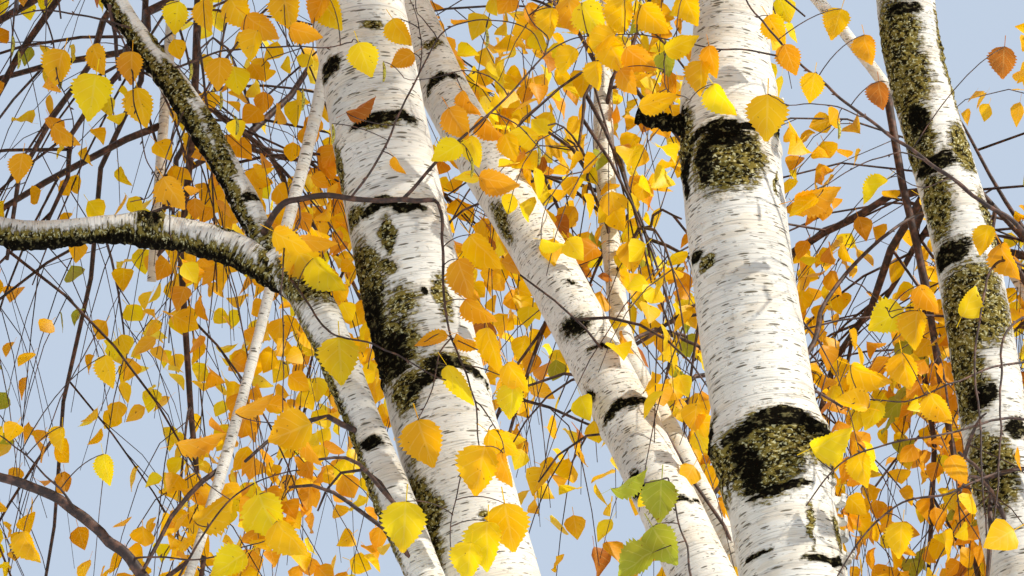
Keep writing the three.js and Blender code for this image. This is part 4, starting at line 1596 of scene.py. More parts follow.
def near_twigs() -> tuple[NearTwig, ...]:
    """The twigs before the stems, each after the one that it leaves."""
    rows = (
        (((258, 240), (268, 224), (282, 205), (300, 199), (330, 194), (360, 199), (400, 201), (434, 200)),
         (-0.09, -0.12), (0.0048, 0.0030)),
        (((432, 200), (441, 216), (442, 250), (445, 300), (451, 338), (463, 368), (475, 402), (479, 445)),
         (-0.13, -0.13), (0.0022, 0.0009)),
        (((405, 201), (412, 190), (440, 158), (480, 122), (512, 92), (546, 54), (570, 40), (588, 36)),
         (-0.12, -0.10), (0.0024, 0.0008)),
        (((546, 54), (548, 40), (540, 30), (526, 14), (519, -14)), (-0.1, -0.08), (0.0011, 0.0005)),
        (((546, 54), (530, 28), (500, 20), (468, 21), (447, 29), (437, 40), (418, 76), (400, 112), (388, 140),
         (372, 170), (352, 196)), (-0.1, -0.11), (0.0006, 0.0017)),
        (((437, 40), (424, 22), (415, 12), (417, -20)), (-0.1, -0.09), (0.0008, 0.0005)),
        (((420, 74), (421, 40), (412, 4), (404, -20)), (-0.1, -0.09), (0.0008, 0.0005)),
        (((492, 112), (516, 124), (534, 140), (552, 160), (572, 172)), (-0.1, -0.08), (0.0010, 0.0005)),
        (((506, 98), (490, 78), (462, 72), (430, 80), (404, 78)), (-0.12, -0.12), (0.0009, 0.0005)),
        (((451, 338), (440, 352), (436, 372), (430, 396), (418, 420)), (-0.14, -0.14), (0.0011, 0.0006)),
        (((451, 338), (470, 345), (488, 352), (498, 340)), (-0.14, -0.14), (0.0010, 0.0005)),
        (((451, 338), (438, 334), (424, 342)), (-0.14, -0.14), (0.0009, 0.0005)),
        (((463, 368), (482, 368), (502, 376), (514, 392)), (-0.14, -0.14), (0.0010, 0.0005)),
        (((475, 402), (488, 416), (500, 438), (505, 462)), (-0.14, -0.14), (0.0010, 0.0005)),
        (((492, 112), (478, 130), (460, 142), (444, 144)), (-0.1, -0.1), (0.0009, 0.0005)),
        (((479, 445), (470, 458), (462, 470), (455, 500), (450, 530), (452, 560)), (-0.14, -0.14),
         (0.0010, 0.0006)),
        (((276, 262), (300, 290), (322, 325), (346, 338), (372, 346), (398, 356), (424, 370), (446, 380)),
         (-0.10, -0.13), (0.0017, 0.0009)),
        (((300, 200), (300, 222), (286, 240), (283, 262), (282, 300), (284, 350), (283, 410)), (-0.12, -0.13),
         (0.0013, 0.0007)),
        (((283, 410), (270, 440), (262, 470), (268, 500)), (-0.13, -0.13), (0.0008, 0.0005)),
        (((1046, 640), (1072, 520), (1070, 380), (1052, 280), (1021, 228), (990, 207), (927, 160), (890, 134),
         (855, 111), (826, 86), (799, 64), (765, 25), (746, -2), (734, -40)), (-0.10, -0.11),
         (0.0050, 0.0009)),
        (((800, 64), (773, 55), (740, 50), (714, 49), (670, 40), (640, 34), (612, 36), (588, 46)),
         (-0.12, -0.12), (0.0014, 0.0006)),
        (((862, 117), (836, 108), (810, 105), (787, 106), (771, 96)), (-0.13, -0.13), (0.0010, 0.0006)),
        (((670, 40), (664, 70), (668, 92), (690, 100)), (-0.13, -0.13), (0.0009, 0.0005)),
        (((925, 160), (904, 152), (880, 158), (850, 170), (824, 186)), (-0.12, -0.12), (0.0011, 0.0006)),
        (((962, 184), (948, 180), (925, 188), (905, 182), (888, 168)), (-0.12, -0.12), (0.0009, 0.0005)),
        (((806, 400), (812, 346), (822, 310), (845, 275), (880, 240), (915, 216), (960, 205)), (0.10, 0.25),
         (0.0042, 0.0015)),
        (((845, 275), (868, 292), (884, 306), (892, 318)), (0.06, 0.02), (0.0011, 0.0006)),
        (((1044, 276), (1000, 262), (982, 300), (976, 360), (980, 430), (986, 520), (990, 600)),
         (-0.12, -0.14), (0.0018, 0.0009)),
        (((1050, 300), (1008, 330), (1002, 380), (1000, 450), (994, 520), (984, 600)), (-0.13, -0.15),
         (0.0018, 0.0009)),
        (((1066, 360), (1000, 366), (950, 384), (905, 402), (868, 398), (840, 410)), (-0.10, -0.10),
         (0.0018, 0.0007)),
        (((1068, 420), (1000, 420), (940, 436), (880, 446), (838, 466), (806, 506)), (-0.12, -0.12),
         (0.0020, 0.0008)),
        (((1070, 480), (1010, 470), (950, 492), (900, 504), (860, 540), (830, 590)), (-0.12, -0.12),
         (0.0022, 0.0009)),
        (((786, 640), (735, 632), (700, 598), (684, 540), (673, 496), (668, 478)), (-0.12, -0.14),
         (0.0022, 0.0009)),
        (((470, 640), (330, 640), (200, 620), (145, 580), (128, 558), (80, 512), (40, 490), (0, 477),
         (-30, 470)), (-0.06, -0.10), (0.0100, 0.0055)),
        (((80, 512), (70, 500), (40, 470), (10, 440), (-20, 430)), (-0.1, -0.1), (0.0016, 0.0007)),
        (((128, 558), (160, 556), (200, 560), (236, 548), (268, 540)), (-0.11, -0.12), (0.0014, 0.0007)),
        (((170, 596), (200, 540), (230, 500), (262, 480), (300, 470)), (-0.11, -0.12), (0.0016, 0.0007)),
        (((200, 96), (176, 130), (160, 172), (150, 196), (130, 202)), (-0.06, -0.08), (0.0012, 0.0006)),
        (((180, 60), (220, 52), (262, 48), (300, 46), (330, 48), (352, 42)), (-0.10, -0.12),
         (0.0016, 0.0007)),
        (((152, 16), (120, 24), (80, 14), (44, 10), (10, 16)), (-0.05, -0.08), (0.0018, 0.0008)),
        (((110, 24), (128, 50), (134, 90), (140, 130), (150, 170), (168, 200), (172, 240)), (-0.06, -0.08),
         (0.0012, 0.0006)),
        (((40, 10), (52, 40), (58, 80), (72, 120), (70, 160)), (-0.07, -0.08), (0.0012, 0.0006)),
    )
    return tuple(NearTwig(*row) for row in rows)


def near_leaves() -> tuple[NearLeaf, ...]:
    """The leaves before the stems, spray by spray."""
    gold, lemon, amber, rust, lime = Tint
    rows = (
        (58, 68, 49, -110, 20, gold), (92, 97, 59, -100, 5, lemon), (131, 68, 42, -95, 20, amber),
        (141, 108, 52, -80, 30, gold), (219, 74, 44, -95, 25, amber), (173, 194, 49, -60, 30, amber),
        (66, 136, 42, -40, 50, amber), (20, 168, 39, -100, 25, amber), (98, 60, 42, -70, 40, gold),
        (340, 361, 58, -88, 5, lemon), (289, 432, 59, -160, 10, gold), (255, 405, 52, 25, 66, amber),
        (202, 441, 61, 8, 62, amber), (215, 510, 57, 30, 40, gold), (268, 518, 61, -70, 15, lemon),
        (291, 540, 57, -55, 35, gold), (311, 452, 42, -60, 60, amber), (404, 527, 61, -95, 8, lemon),
        (425, 444, 61, -75, 15, gold), (460, 386, 59, -58, 60, lemon), (485, 253, 57, -52, 42, gold),
        (464, 280, 54, -75, 40, amber), (479, 471, 61, -105, 20, gold), (509, 528, 61, -80, 15, gold),
        (486, 546, 59, -95, 30, lemon), (553, 244, 32, -20, 55, lemon), (499, 182, 52, -15, 45, amber),
        (468, 562, 47, -100, 20, lemon), (362, 107, 42, 20, 62, rust), (365, 60, 47, -70, 20, lemon),
        (401, 33, 42, -60, 35, gold), (402, 60, 34, -150, 30, amber), (399, 166, 27, -60, 60, amber),
        (228, 564, 49, -150, 30, lemon), (292, 242, 54, -30, 45, gold), (306, 264, 61, -60, 25, gold),
        (328, 276, 57, -50, 40, lemon), (286, 272, 42, -110, 50, amber), (318, 242, 49, -10, 62, amber),
        (240, 14, 47, -60, 20, gold), (262, 28, 52, -40, 35, amber), (287, 12, 49, -80, 15, gold),
        (306, 33, 44, -20, 45, amber), (331, 14, 49, -60, 30, lemon), (252, 46, 42, -110, 30, gold),
        (318, 8, 42, -120, 35, amber), (206, 16, 42, -80, 40, gold), (176, 18, 44, -100, 25, lemon),
        (767, 118, 59, -92, 6, gold), (723, 101, 49, -60, 45, lemon), (659, 101, 52, 15, 55, gold),
        (700, 78, 44, -100, 35, gold), (641, 60, 49, -40, 40, amber), (615, 56, 47, -70, 25, gold),
        (592, 20, 52, -60, 20, lemon), (621, 18, 49, -100, 25, gold), (654, 20, 49, -50, 30, gold),
        (682, 44, 47, 20, 50, lemon), (600, 42, 42, -150, 30, gold), (572, 17, 47, -80, 20, amber),
        (549, 24, 42, -100, 35, gold), (690, 10, 44, -70, 30, gold), (712, 62, 42, -80, 50, amber),
        (566, 62, 42, -130, 40, gold), (628, 82, 39, -60, 40, amber), (596, 76, 37, -90, 40, gold),
        (818, 196, 59, 10, 48, amber), (803, 206, 42, -150, 55, gold), (874, 190, 42, -140, 58, lemon),
        (934, 205, 42, -35, 66, gold), (885, 319, 52, -150, 20, lemon), (867, 50, 39, -80, 30, amber),
        (836, 24, 42, -110, 25, gold), (880, 96, 37, -85, 30, rust), (1003, 63, 42, -95, 20, rust),
        (870, 376, 54, -30, 45, gold), (832, 441, 54, 20, 35, lemon), (970, 302, 42, 60, 30, lemon),
        (852, 402, 42, 160, 40, gold), (872, 416, 39, -120, 40, lemon), (940, 410, 47, -60, 40, gold),
        (915, 330, 49, -100, 35, gold), (862, 470, 44, -80, 40, gold), (905, 372, 49, -80, 30, gold),
        (928, 300, 44, -60, 45, amber), (1008, 262, 49, -70, 45, amber), (984, 240, 39, -110, 40, gold),
        (900, 540, 44, -100, 35, gold), (958, 470, 39, -60, 40, amber), (660, 501, 52, -95, 15, lime),
        (664, 546, 54, -60, 20, lime), (634, 563, 52, -150, 30, lime), (630, 482, 49, 20, 66, lime),
        (108, 372, 42, -80, 40, gold), (30, 548, 44, -70, 35, gold), (106, 470, 39, -80, 40, lemon),
        (60, 440, 34, -100, 40, gold), (458, 124, 47, -60, 30, amber), (474, 152, 42, -80, 40, lemon),
        (446, 152, 42, -150, 30, lemon), (492, 130, 44, -50, 50, amber), (470, 104, 39, -60, 55, amber),
        (510, 148, 37, -70, 30, gold), (480, 312, 49, -40, 50, amber), (493, 352, 62, -78, 58, gold),
        (517, 378, 44, -60, 40, gold), (511, 402, 42, -100, 25, lemon), (431, 340, 42, -165, 62, amber),
        (470, 342, 39, -30, 62, amber), (503, 444, 47, -40, 40, gold), (505, 470, 44, -75, 55, amber),
        (790, 60, 42, -70, 35, amber), (812, 88, 39, -100, 30, gold), (776, 30, 42, -60, 35, gold),
    )
    return tuple(NearLeaf(*row) for row in rows)


def near_catkins() -> tuple[NearCatkin, ...]:
    """The catkins before the stems, from the left of the frame to the right."""
    rows = (
        (18, 60, 27), (12, 44, 25), (190, 70, 31), (220, 101, 30), (236, 126, 27), (302, 100, 32),
        (332, 134, 30), (383, 72, 30), (471, 167, 30), (486, 38, 31), (538, 155, 31), (640, 8, 30),
        (838, 130, 27),
    )
    return tuple(NearCatkin(*row) for row in rows)


@dataclass
class NearSprays:
    """Twigs, leaves, buds and catkins placed one by one where the photograph shows them before the stems."""

    view: View
    seed: int = 90
    bud_length: float = 0.006
    bud_radii: tuple[float, ...] = (0.0008, 0.0013, 0.0012, 0.0007, 0.0001)
    bud_step: int = 6
    bud_limit: float = 0.003
    leaf_scatter: float = 0.02
    leaf_lean: float = 0.25
    stalk_radii: Pair = (0.0008, 0.0006)
    catkin_bow: float = 0.002
    catkin_radii: Pair = (0.0002, 0.0019)
    catkin_stalk: float = 0.0006

    def curves(self, carriers: Iterable[BarkTube]) -> list[tuple[Array, Array]]:
        """Points and radii of the twigs, rooted on the stems, the limbs and each other."""
        lines = [StationCurve(tube.stations) for tube in carriers]
        wood = [line.at(np.linspace(0.0, line.length, 1500)) for line in lines]
        made: list[tuple[Array, Array]] = []
        for twig in near_twigs():
            made.append(twig.curve(self.view, np.concatenate(wood)))
            wood.append(made[-1][0])
        return made

    def build(
        self, twig_bark: Material, catkin: Material, carriers: Iterable[BarkTube],
        pile: LeafPile,
    ) -> None:
        """Add the twigs, and hang each leaf and catkin on the nearest twig by a thin stalk."""
        draw = np.random.default_rng(self.seed)
        draft = MeshDraft()
        curves = self.curves(carriers)
        for points, radii in curves:
            add_tubes(draft, points[None], radii[None], 8)
        self.add_buds(draw, draft, curves)
        wood = np.concatenate([points for points, _ in curves])
        self.add_leaves(draw, draft, wood, pile)
        self.add_catkins(draft, wood, catkin)
        draft.build("near_twigs", [twig_bark], "dark_twig_bark")

    def add_buds(self, draw: Draw, draft: MeshDraft, curves: list[tuple[Array, Array]]) -> None:
        """Pointed buds on the thinner twigs, each leaning out and forward."""
        shape = np.array([self.bud_radii])
        share = np.linspace(0.0, 1.0, len(self.bud_radii))[:, None]
        for points, radii in curves:
            for k in range(self.bud_step, len(points) - 2, self.bud_step):
                if radii[k] > self.bud_limit:
                    continue
                ahead = unit(points[k + 1] - points[k])
                out = unit(ahead + unit(np.cross(ahead, draw.normal(0.0, 1.0, 3))))
                add_tubes(draft, (points[k] + share * out * self.bud_length)[None], shape, 5)

    def add_leaves(self, draw: Draw, draft: MeshDraft, wood: Array, pile: LeafPile) -> None:
        """Set the leaves at the depth of the nearest twig, each with a bent stalk that joins it."""
        leaves = near_leaves()
        way = np.radians([leaf.way for leaf in leaves])[:, None]
        turn = np.radians([leaf.turn for leaf in leaves])[:, None]
        away = np.array([self.near_depth(wood, leaf.across, leaf.down) for leaf in leaves])
        away = away + draw.uniform(-self.leaf_scatter, self.leaf_scatter, len(leaves))
        middle = np.array([self.view.point(leaf.across, leaf.down, y) for leaf, y in zip(leaves, away)])
        axes = np.cos(way) * self.view.right + np.sin(way) * self.view.up
        axes = unit(axes + draw.uniform(-self.leaf_lean, self.leaf_lean, (len(leaves), 1)) * self.view.ahead)
        facing = np.cos(turn) * -self.view.ahead + np.sin(turn) * np.cross(axes, -self.view.ahead)
        sizes = np.array([leaf.length_mm for leaf in leaves]) / 1000.0
        feet = middle - axes * sizes[:, None] / 2
        near = wood[np.argmin(np.linalg.norm(wood[None] - feet[:, None], axis=2), axis=1)]
        gaps = np.linalg.norm(near - feet, axis=1, keepdims=True)
        stalks = bent_curves(near, (near + feet) / 2 - 0.2 * axes * gaps, feet, 8)
        add_tubes(draft, stalks, np.repeat([np.linspace(*self.stalk_radii, 8)], len(leaves), axis=0), 5)
        fine = np.full(len(leaves), LeafForm.FINE.value)
        tints = np.array([list(Tint).index(leaf.tint) for leaf in leaves])
        pile.add(feet, axes, facing, sizes, tints, fine)

    def near_depth(self, wood: Array, across: float, down: float) -> float:
        """The depth of the twig that is seen nearest to a pixel."""
        x, y = self.view.pixels(wood)
        return float(wood[np.argmin(np.hypot(x - across, y - down)), 1])

    def add_catkins(self, draft: MeshDraft, wood: Array, catkin: Material) -> None:
        """Hanging spindles, each on a thin stalk: the radius goes as a power of the sine of the way down."""
        scales = MeshDraft()
        thin, thick = self.catkin_radii
        t = np.linspace(0.0, 1.0, 14)
        for spot in near_catkins():
            depth = self.near_depth(wood, spot.across, spot.down)
            size = spot.length_mm / 1000.0
            top = self.view.point(spot.across, spot.down, depth) + UP * size / 2
            bow = self.view.right * (self.catkin_bow * np.sin(3 * t))[:, None]
            spindle = top + DOWN * (t * size)[:, None] + bow
            add_tubes(scales, spindle[None], (thin + thick * np.sin(np.pi * t) ** 0.4)[None], 9)
            near = wood[np.argmin(np.linalg.norm(wood - top, axis=1))]
            stalk = bent_curves(near[None], ((near + top) / 2 + 0.01 * UP)[None], top[None], 8)
            add_tubes(draft, stalk, np.full((1, 8), self.catkin_stalk), 5)
        scales.build("catkins", [catkin], "autumn_leaves")


@dataclass
class Studio:
    """The pale floor, the plain light round it and the camera."""

    view: View
    floor_radius: float = 600.0
    floor_sides: int = 96
    floor_colour: str = "#DDDFE2"
    sky: str = "#CFDFF4"
    sky_strength: float = 0.86
    sun_turn: float = 60.0
    sun_height: float = 37.0
    sun_strength: float = 4.9
    sun_colour: str = "#FFF9EC"
    sun_softness: float = 1.2

    def floor(self) -> None:
        """A wide pale disc at ground level."""
        angle = np.linspace(0.0, 2 * np.pi, self.floor_sides, endpoint=False)
        rim = np.stack([np.cos(angle), np.sin(angle), np.zeros_like(angle)], -1) * self.floor_radius
        mesh = bpy.data.meshes.new("floor")
        mesh.from_pydata((rim - 0.0005 * UP).tolist(), [], [list(range(self.floor_sides))])
        piece = bpy.data.objects.new("floor", mesh)
        material, tree = new_material("pale_floor")
        skin = {"Base Color": linear(self.floor_colour), "Roughness": 0.9}
        shader = add_node(tree, "BsdfPrincipled", skin)
        add_node(tree, "OutputMaterial", {"Surface": shader})
        mesh.materials.append(material)
        bpy.context.scene.collection.objects.link(piece)

    def light(self) -> None:
        """A soft sky all round and one sun from the right."""
        world = bpy.data.worlds.new("plain_sky")
        bpy.context.scene.world = world
        world.use_nodes = True
        world.node_tree.nodes.clear()
        sky = {"Color": linear(self.sky), "Strength": self.sky_strength}
        surface = add_node(world.node_tree, "Background", sky)
        add_node(world.node_tree, "OutputWorld", {"Surface": surface})
        lamp = bpy.data.lights.new("sun", "SUN")
        lamp.energy = self.sun_strength
        lamp.color = linear(self.sun_colour)[:3]
        lamp.angle = np.radians(self.sun_softness)
        sun = bpy.data.objects.new("sun", lamp)
        turn, rise = np.radians(self.sun_turn + CAMERA_SIDE), np.radians(self.sun_height)
        way = Vector((np.cos(turn) * np.cos(rise), np.sin(turn) * np.cos(rise), np.sin(rise)))
        sun.rotation_euler = way.to_track_quat("Z", "Y").to_euler()
        bpy.context.scene.collection.objects.link(sun)

    def camera(self) -> None:
        """The photograph's camera."""
        lens = bpy.data.cameras.new("camera")
        lens.lens = self.view.lens_mm
        lens.sensor_width = self.view.sensor_mm
        lens.clip_end = 2000.0
        camera = bpy.data.objects.new("camera", lens)
        camera.location = self.view.place
        camera.rotation_euler = Vector(self.view.ahead).to_track_quat("-Z", "Y").to_euler()
        bpy.context.scene.collection.objects.link(camera)
        bpy.context.scene.camera = camera

    def build(self) -> None:
        """Set the studio up."""
        self.floor()
        self.light()
        self.camera()
        bpy.context.scene.view_settings.view_transform = "Standard"


def stem_left() -> Stem:
    """The left stem: a broad dark crust runs down its left side from the first bough."""
    marks = (
        Mark(PATCH, -152, 4.955, 34, 0.016), Mark(MOSS, -78, 4.996, 18, 0.007),
        Mark(CHEVRON, -90, 4.862, 46, 0.010, 0.95, 0.012, 0.003), Mark(MOSS, -92, 4.856, 46, 0.016, 0.8),
        Mark(MOSS, -170, 4.82, 20, 0.06, 0.7), Mark(MOSS, -148, 4.745, 32, 0.02, 0.9),
        Mark(CHEVRON, -108, 4.742, 30, 0.011, 1.0, 0.01, 0.004), Mark(CHEVRON, -78, 4.728, 24, 0.006),
        Mark(MOSS, -155, 4.68, 36, 0.05), Mark(MOSS, -107, 4.70, 12, 0.035),
        Mark(MOSS, -120, 4.655, 20, 0.018), Mark(MOSS, -164, 4.61, 46, 0.12),
        Mark(MOSS, -138, 4.55, 54, 0.055), Mark(PATCH, -166, 4.58, 44, 0.09),
        Mark(PATCH, -134, 4.54, 30, 0.042), Mark(MOSS, -112, 4.60, 34, 0.04, 0.55),
        Mark(PATCH, -82, 4.611, 10, 0.007), Mark(PATCH, -35, 4.645, 10, 0.009),
        Mark(MOSS, -62, 4.60, 15, 0.045, 0.9), Mark(MOSS, -78, 4.512, 40, 0.018),
        Mark(PATCH, -82, 4.514, 24, 0.009), Mark(MOSS, -128, 4.49, 34, 0.034, 0.85),
        Mark(CHEVRON, -70, 4.506, 66, 0.010, 1.0, 0.03, 0.003), Mark(MOSS, -150, 4.33, 34, 0.09),
        Mark(PATCH, -166, 4.36, 18, 0.04), Mark(MOSS, -80, 4.30, 14, 0.010, 0.8),
    )
    path = (
        (0.03, 0.14, 0.0), (-0.25, 0.095, 1.6), (-0.933, 0.0, 4.254), (-1.017, 0.0, 4.61), (-1.1, 0.0, 5.07),
        (-1.55, 0.02, 8.0), (-1.78, 0.02, 10.6), (-1.83, 0.01, 12.6),
    )
    return Stem("stem_left", path, 108, 3, (4.15, 5.15), marks=marks, base_radius=0.101, top=12.9, taper=1.05)


def stem_middle() -> Stem:
    """The middle stem: a torn crust below its stub, and a black collar where a whorl of boughs died."""
    marks = (
        Mark(MOSS, -98, 4.806, 62, 0.070), Mark(MOSS, -162, 4.85, 36, 0.060),
        Mark(PATCH, -168, 4.872, 20, 0.038), Mark(PATCH, -160, 4.80, 13, 0.045),
        Mark(PATCH, -124, 4.803, 15, 0.044, 1.0, bulge=0.004), Mark(PATCH, -94, 4.834, 40, 0.024),
        Mark(CHEVRON, -92, 4.856, 60, 0.008, 0.9, 0.02, 0.004), Mark(PATCH, -14, 4.863, 15, 0.015),
        Mark(MOSS, -20, 4.865, 26, 0.020), Mark(MOSS, -31, 4.777, 5, 0.026),
        Mark(PATCH, -152, 4.680, 12, 0.013, bulge=0.004), Mark(MOSS, -138, 4.664, 16, 0.012),
        Mark(PATCH, -84, 4.430, 44, 0.014), Mark(CHEVRON, -76, 4.437, 78, 0.014, 1.0, 0.018, 0.005),
        Mark(MOSS, -112, 4.388, 66, 0.072), Mark(MOSS, -52, 4.408, 66, 0.044),
        Mark(MOSS, -14, 4.400, 24, 0.046), Mark(PATCH, -20, 4.408, 16, 0.034),
        Mark(PATCH, -127, 4.378, 20, 0.060), Mark(PATCH, -166, 4.440, 18, 0.034, bulge=0.004),
        Mark(MOSS, -168, 4.400, 30, 0.060), Mark(CHEVRON, -100, 4.341, 46, 0.006, 1.0, 0.0, 0.0, 0.007),
        Mark(MOSS, -68, 4.288, 5, 0.045, 0.85), Mark(CHEVRON, -42, 4.247, 42, 0.007),
        Mark(CHEVRON, -132, 4.264, 24, 0.005), Mark(SWELL, -90, 4.412, 400, 0.045, bulge=0.006),
        Mark(PATCH, -30, 4.30, 6, 0.022, 0.8), Mark(MOSS, -25, 4.29, 14, 0.04, 0.8),
    )
    path = (
        (-0.13, -0.15, 0.0), (-0.285, -0.11, 1.9), (-0.559, 0.0, 4.254), (-0.608, 0.0, 4.642),
        (-0.624, 0.0, 4.907), (-0.6, 0.0, 5.25), (-0.5, 0.01, 8.3), (-0.33, 0.03, 10.9), (-0.25, 0.0, 13.0),
    )
    return Stem(
        "stem_middle", path, 108, 7, (4.15, 5.12), marks=marks, base_radius=0.098, top=13.3, taper=1.0,
        collar_height=4.93, collar_keep=0.82,
    )


def stem_right() -> Stem:
    """The right stem: olive-brown crust on its left half with four black bands."""
    marks = (
        Mark(MOSS, -134, 5.03, 78, 0.13), Mark(PATCH, -108, 5.098, 52, 0.015),
        Mark(MOSS, -140, 4.92, 56, 0.075), Mark(PATCH, -126, 4.934, 34, 0.034),
        Mark(MOSS, -18, 5.02, 24, 0.12, 0.9), Mark(MOSS, -50, 4.885, 40, 0.05),
        Mark(PATCH, -120, 4.868, 62, 0.019), Mark(MOSS, -136, 4.815, 46, 0.07, 0.9),
        Mark(MOSS, -28, 4.785, 30, 0.06), Mark(PATCH, -132, 4.741, 60, 0.026),
        Mark(MOSS, -100, 4.662, 104, 0.078), Mark(MOSS, -142, 4.58, 58, 0.11),
        Mark(PATCH, -116, 4.53, 36, 0.021), Mark(PATCH, -57, 4.487, 34, 0.019),
        Mark(MOSS, -122, 4.43, 64, 0.08),
    )
    path = (
        (0.27, -0.03, 0.0), (0.11, 0.01, 1.6), (-0.279, 0.1, 4.381), (-0.322, 0.1, 4.76), (-0.384, 0.1, 5.13),
        (-0.4, -0.1, 6.8), (-0.06, -0.42, 9.0), (0.3, -0.64, 11.0),
    )
    return Stem(
        "stem_right", path, 84, 12, (4.25, 5.2), marks=marks, base_radius=0.068, top=11.3, taper=0.94,
        nominal=0.045,
    )


def stem_back() -> Stem:
    """The back stem: clean and white, with a few dark bands."""
    marks = (
        Mark(CHEVRON, -95, 5.567, 60, 0.012, 0.9, 0.012), Mark(MOSS, -80, 5.63, 40, 0.012, 0.8),
        Mark(PATCH, -121, 5.085, 58, 0.022, 0.9), Mark(PATCH, -79, 5.159, 18, 0.006),
        Mark(CHEVRON, -80, 5.042, 44, 0.006, 0.9, 0.004), Mark(PATCH, -160, 4.977, 22, 0.016),
        Mark(CHEVRON, -92, 4.936, 70, 0.012, 1.0, 0.012, 0.004), Mark(PATCH, -152, 4.813, 30, 0.028),
        Mark(CHEVRON, -72, 4.764, 56, 0.006, 1.0, 0.006), Mark(MOSS, -150, 5.30, 30, 0.05, 0.7),
    )
    path = (
        (0.15, 0.36, 0.0), (0.17, 0.48, 1.8), (-0.17, 0.72, 3.4), (-0.651, 0.9, 4.712), (-0.83, 1.0, 5.181),
        (-1.025, 1.1, 5.628), (-1.75, 1.55, 7.9), (-2.15, 1.8, 10.4),
    )
    return Stem(
        "stem_back", path, 72, 19, (4.6, 5.8), 0.006, marks=marks, base_radius=0.075, top=10.7, taper=0.93
    )


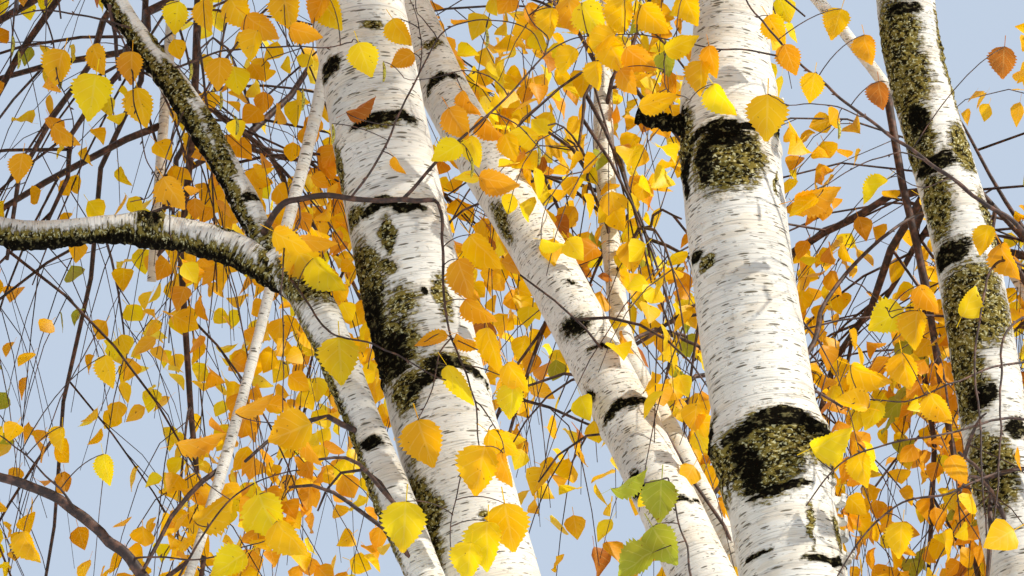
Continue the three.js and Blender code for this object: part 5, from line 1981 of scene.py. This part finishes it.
def limb_list() -> list[Limb]:
    """The single limbs beside the stems, with crust on their undersides and rings where twigs left."""
    aside, upward, back = (1.0, 0.0, 0.0), (0.0, 0.0, 1.0), (0.0, 1.0, 0.0)
    fork = (
        (-0.765, 0.02, 3.6), (-0.89, -0.06, 3.96), (-1.005, -0.05, 4.231), (-1.096, -0.03, 4.484),
        (-1.152, -0.01, 4.631), (-1.2, 0.0, 4.69),
    )
    level = (
        (-1.172, 0.0, 4.655), (-1.255, 0.0, 4.707), (-1.368, 0.0, 4.734), (-1.544, 0.0, 4.73),
        (-2.0, -0.06, 4.86), (-2.6, -0.1, 5.25),
    )
    rising = (
        (-1.195, 0.0, 4.68), (-1.258, 0.0, 4.815), (-1.319, 0.0, 4.924), (-1.399, 0.0, 5.046),
        (-1.65, -0.06, 5.5), (-2.0, -0.3, 6.15),
    )
    back_fork = (
        (-0.508, 0.86, 4.35), (-0.535, 0.945, 4.6), (-0.655, 1.0, 4.91), (-0.74, 1.1, 5.179),
        (-0.74, 1.25, 5.9), (-0.52, 1.45, 6.8),
    )
    hanging = (
        (-1.232, 0.005, 5.85), (-1.215, 0.56, 6.08), (-1.17, 0.94, 5.64), (-1.258, 1.0, 5.165),
        (-1.344, 1.0, 4.779), (-1.48, 0.98, 4.3),
    )
    snag = ((-0.655, -0.008, 4.874), (-0.7, -0.01, 4.882), (-0.742, -0.008, 4.893))
    fork_marks = (
        Mark(MOSS, -175, 0.9, 50, 0.3, 0.8), Mark(PATCH, -100, 0.87, 60, 0.013),
        Mark(MOSS, -60, 1.13, 160, 0.06), Mark(PATCH, -20, 1.12, 90, 0.035),
        Mark(SWELL, -90, 1.12, 400, 0.05, bulge=0.003),
    )
    level_marks = (
        Mark(MOSS, 180, 0.5, 105, 1.0), Mark(PATCH, 180, 0.5, 66, 1.0, 0.9), Mark(MOSS, 0, 0.205, 260, 0.02),
        Mark(PATCH, -60, 0.205, 60, 0.012), Mark(SWELL, 0, 0.205, 400, 0.02, bulge=0.0035),
        Mark(MOSS, -60, 0.02, 120, 0.05), Mark(MOSS, -30, 0.11, 30, 0.02, 0.8),
    )
    rising_marks = (
        Mark(PATCH, 104, 0.4, 34, 0.7), Mark(MOSS, 142, 0.4, 44, 0.8, 0.75), Mark(MOSS, 188, 0.16, 34, 0.04),
        Mark(MOSS, 196, 0.29, 40, 0.05), Mark(MOSS, -110, 0.21, 90, 0.05),
        Mark(PATCH, -150, 0.095, 70, 0.010), Mark(MOSS, -90, 0.01, 180, 0.06),
        Mark(MOSS, -100, 0.36, 60, 0.03), Mark(SWELL, 0, 0.1, 400, 0.02, bulge=0.002),
    )
    return [
        Limb("fork_limb", fork, 44, 31, (4.1, 4.8), 0.004, marks=fork_marks, across=aside, nominal=0.025,
             start_radius=0.027, end_radius=0.022),
        Limb("level_bough", level, 40, 37, (4.6, 4.76), 0.004, marks=level_marks, across=upward, nominal=0.02,
             start_radius=0.021, end_radius=0.010, knuckle=0.08),
        Limb("rising_bough", rising, 36, 41, (4.6, 5.2), 0.004, marks=rising_marks, across=back,
             nominal=0.018, start_radius=0.019, end_radius=0.009, knuckle=0.08),
        Limb("back_fork", back_fork, 26, 43, (4.6, 5.5), 0.007, across=aside, nominal=0.018,
             start_radius=0.018, end_radius=0.011),
        Limb("hanging_bough", hanging, 22, 47, (4.6, 5.6), 0.008, across=aside, nominal=0.013,
             start_radius=0.013, end_radius=0.006),
        Limb("dead_snag", snag, 28, 53, (4.8, 4.95), 0.002, marks=(Mark(PATCH, 0, 0.04, 400, 0.5),),
             across=upward, nominal=0.012, slot="dark_twig_bark", start_radius=0.0135, end_radius=0.0085,
             knuckle=0.10),
    ]


def main() -> None:
    """Build the tree piece by piece, then the studio."""
    logging.basicConfig(level=logging.INFO, format="%(message)s")
    view = View()
    bark, twig_bark, catkin = BirchBark().build(), TwigBark().build(), CatkinFinish().build()
    leaves = [LeafFinish(tint).build() for tint in Tint]
    stems = {stem.name: stem for stem in (stem_left(), stem_middle(), stem_right(), stem_back())}
    limbs = {limb.name: limb for limb in limb_list()}
    for tube in (*stems.values(), *limbs.values()):
        tube.build(bark)
    RootFoot().build(bark)
    PeelCurls().build(stems, bark)
    CrownPieces(Crown(tuple(stems.values())), limbs, view).build(bark, twig_bark, leaves)
    beside = [stems["stem_left"], stems["stem_middle"], stems["stem_right"]]
    beside += [limbs["fork_limb"], limbs["level_bough"], limbs["rising_bough"]]
    near = LeafPile()
    NearSprays(view).build(twig_bark, catkin, beside, near)
    near.draft().build("near_leaves", leaves, "autumn_leaves")
    Studio(view).build()


if __name__ == "__main__":
    main()
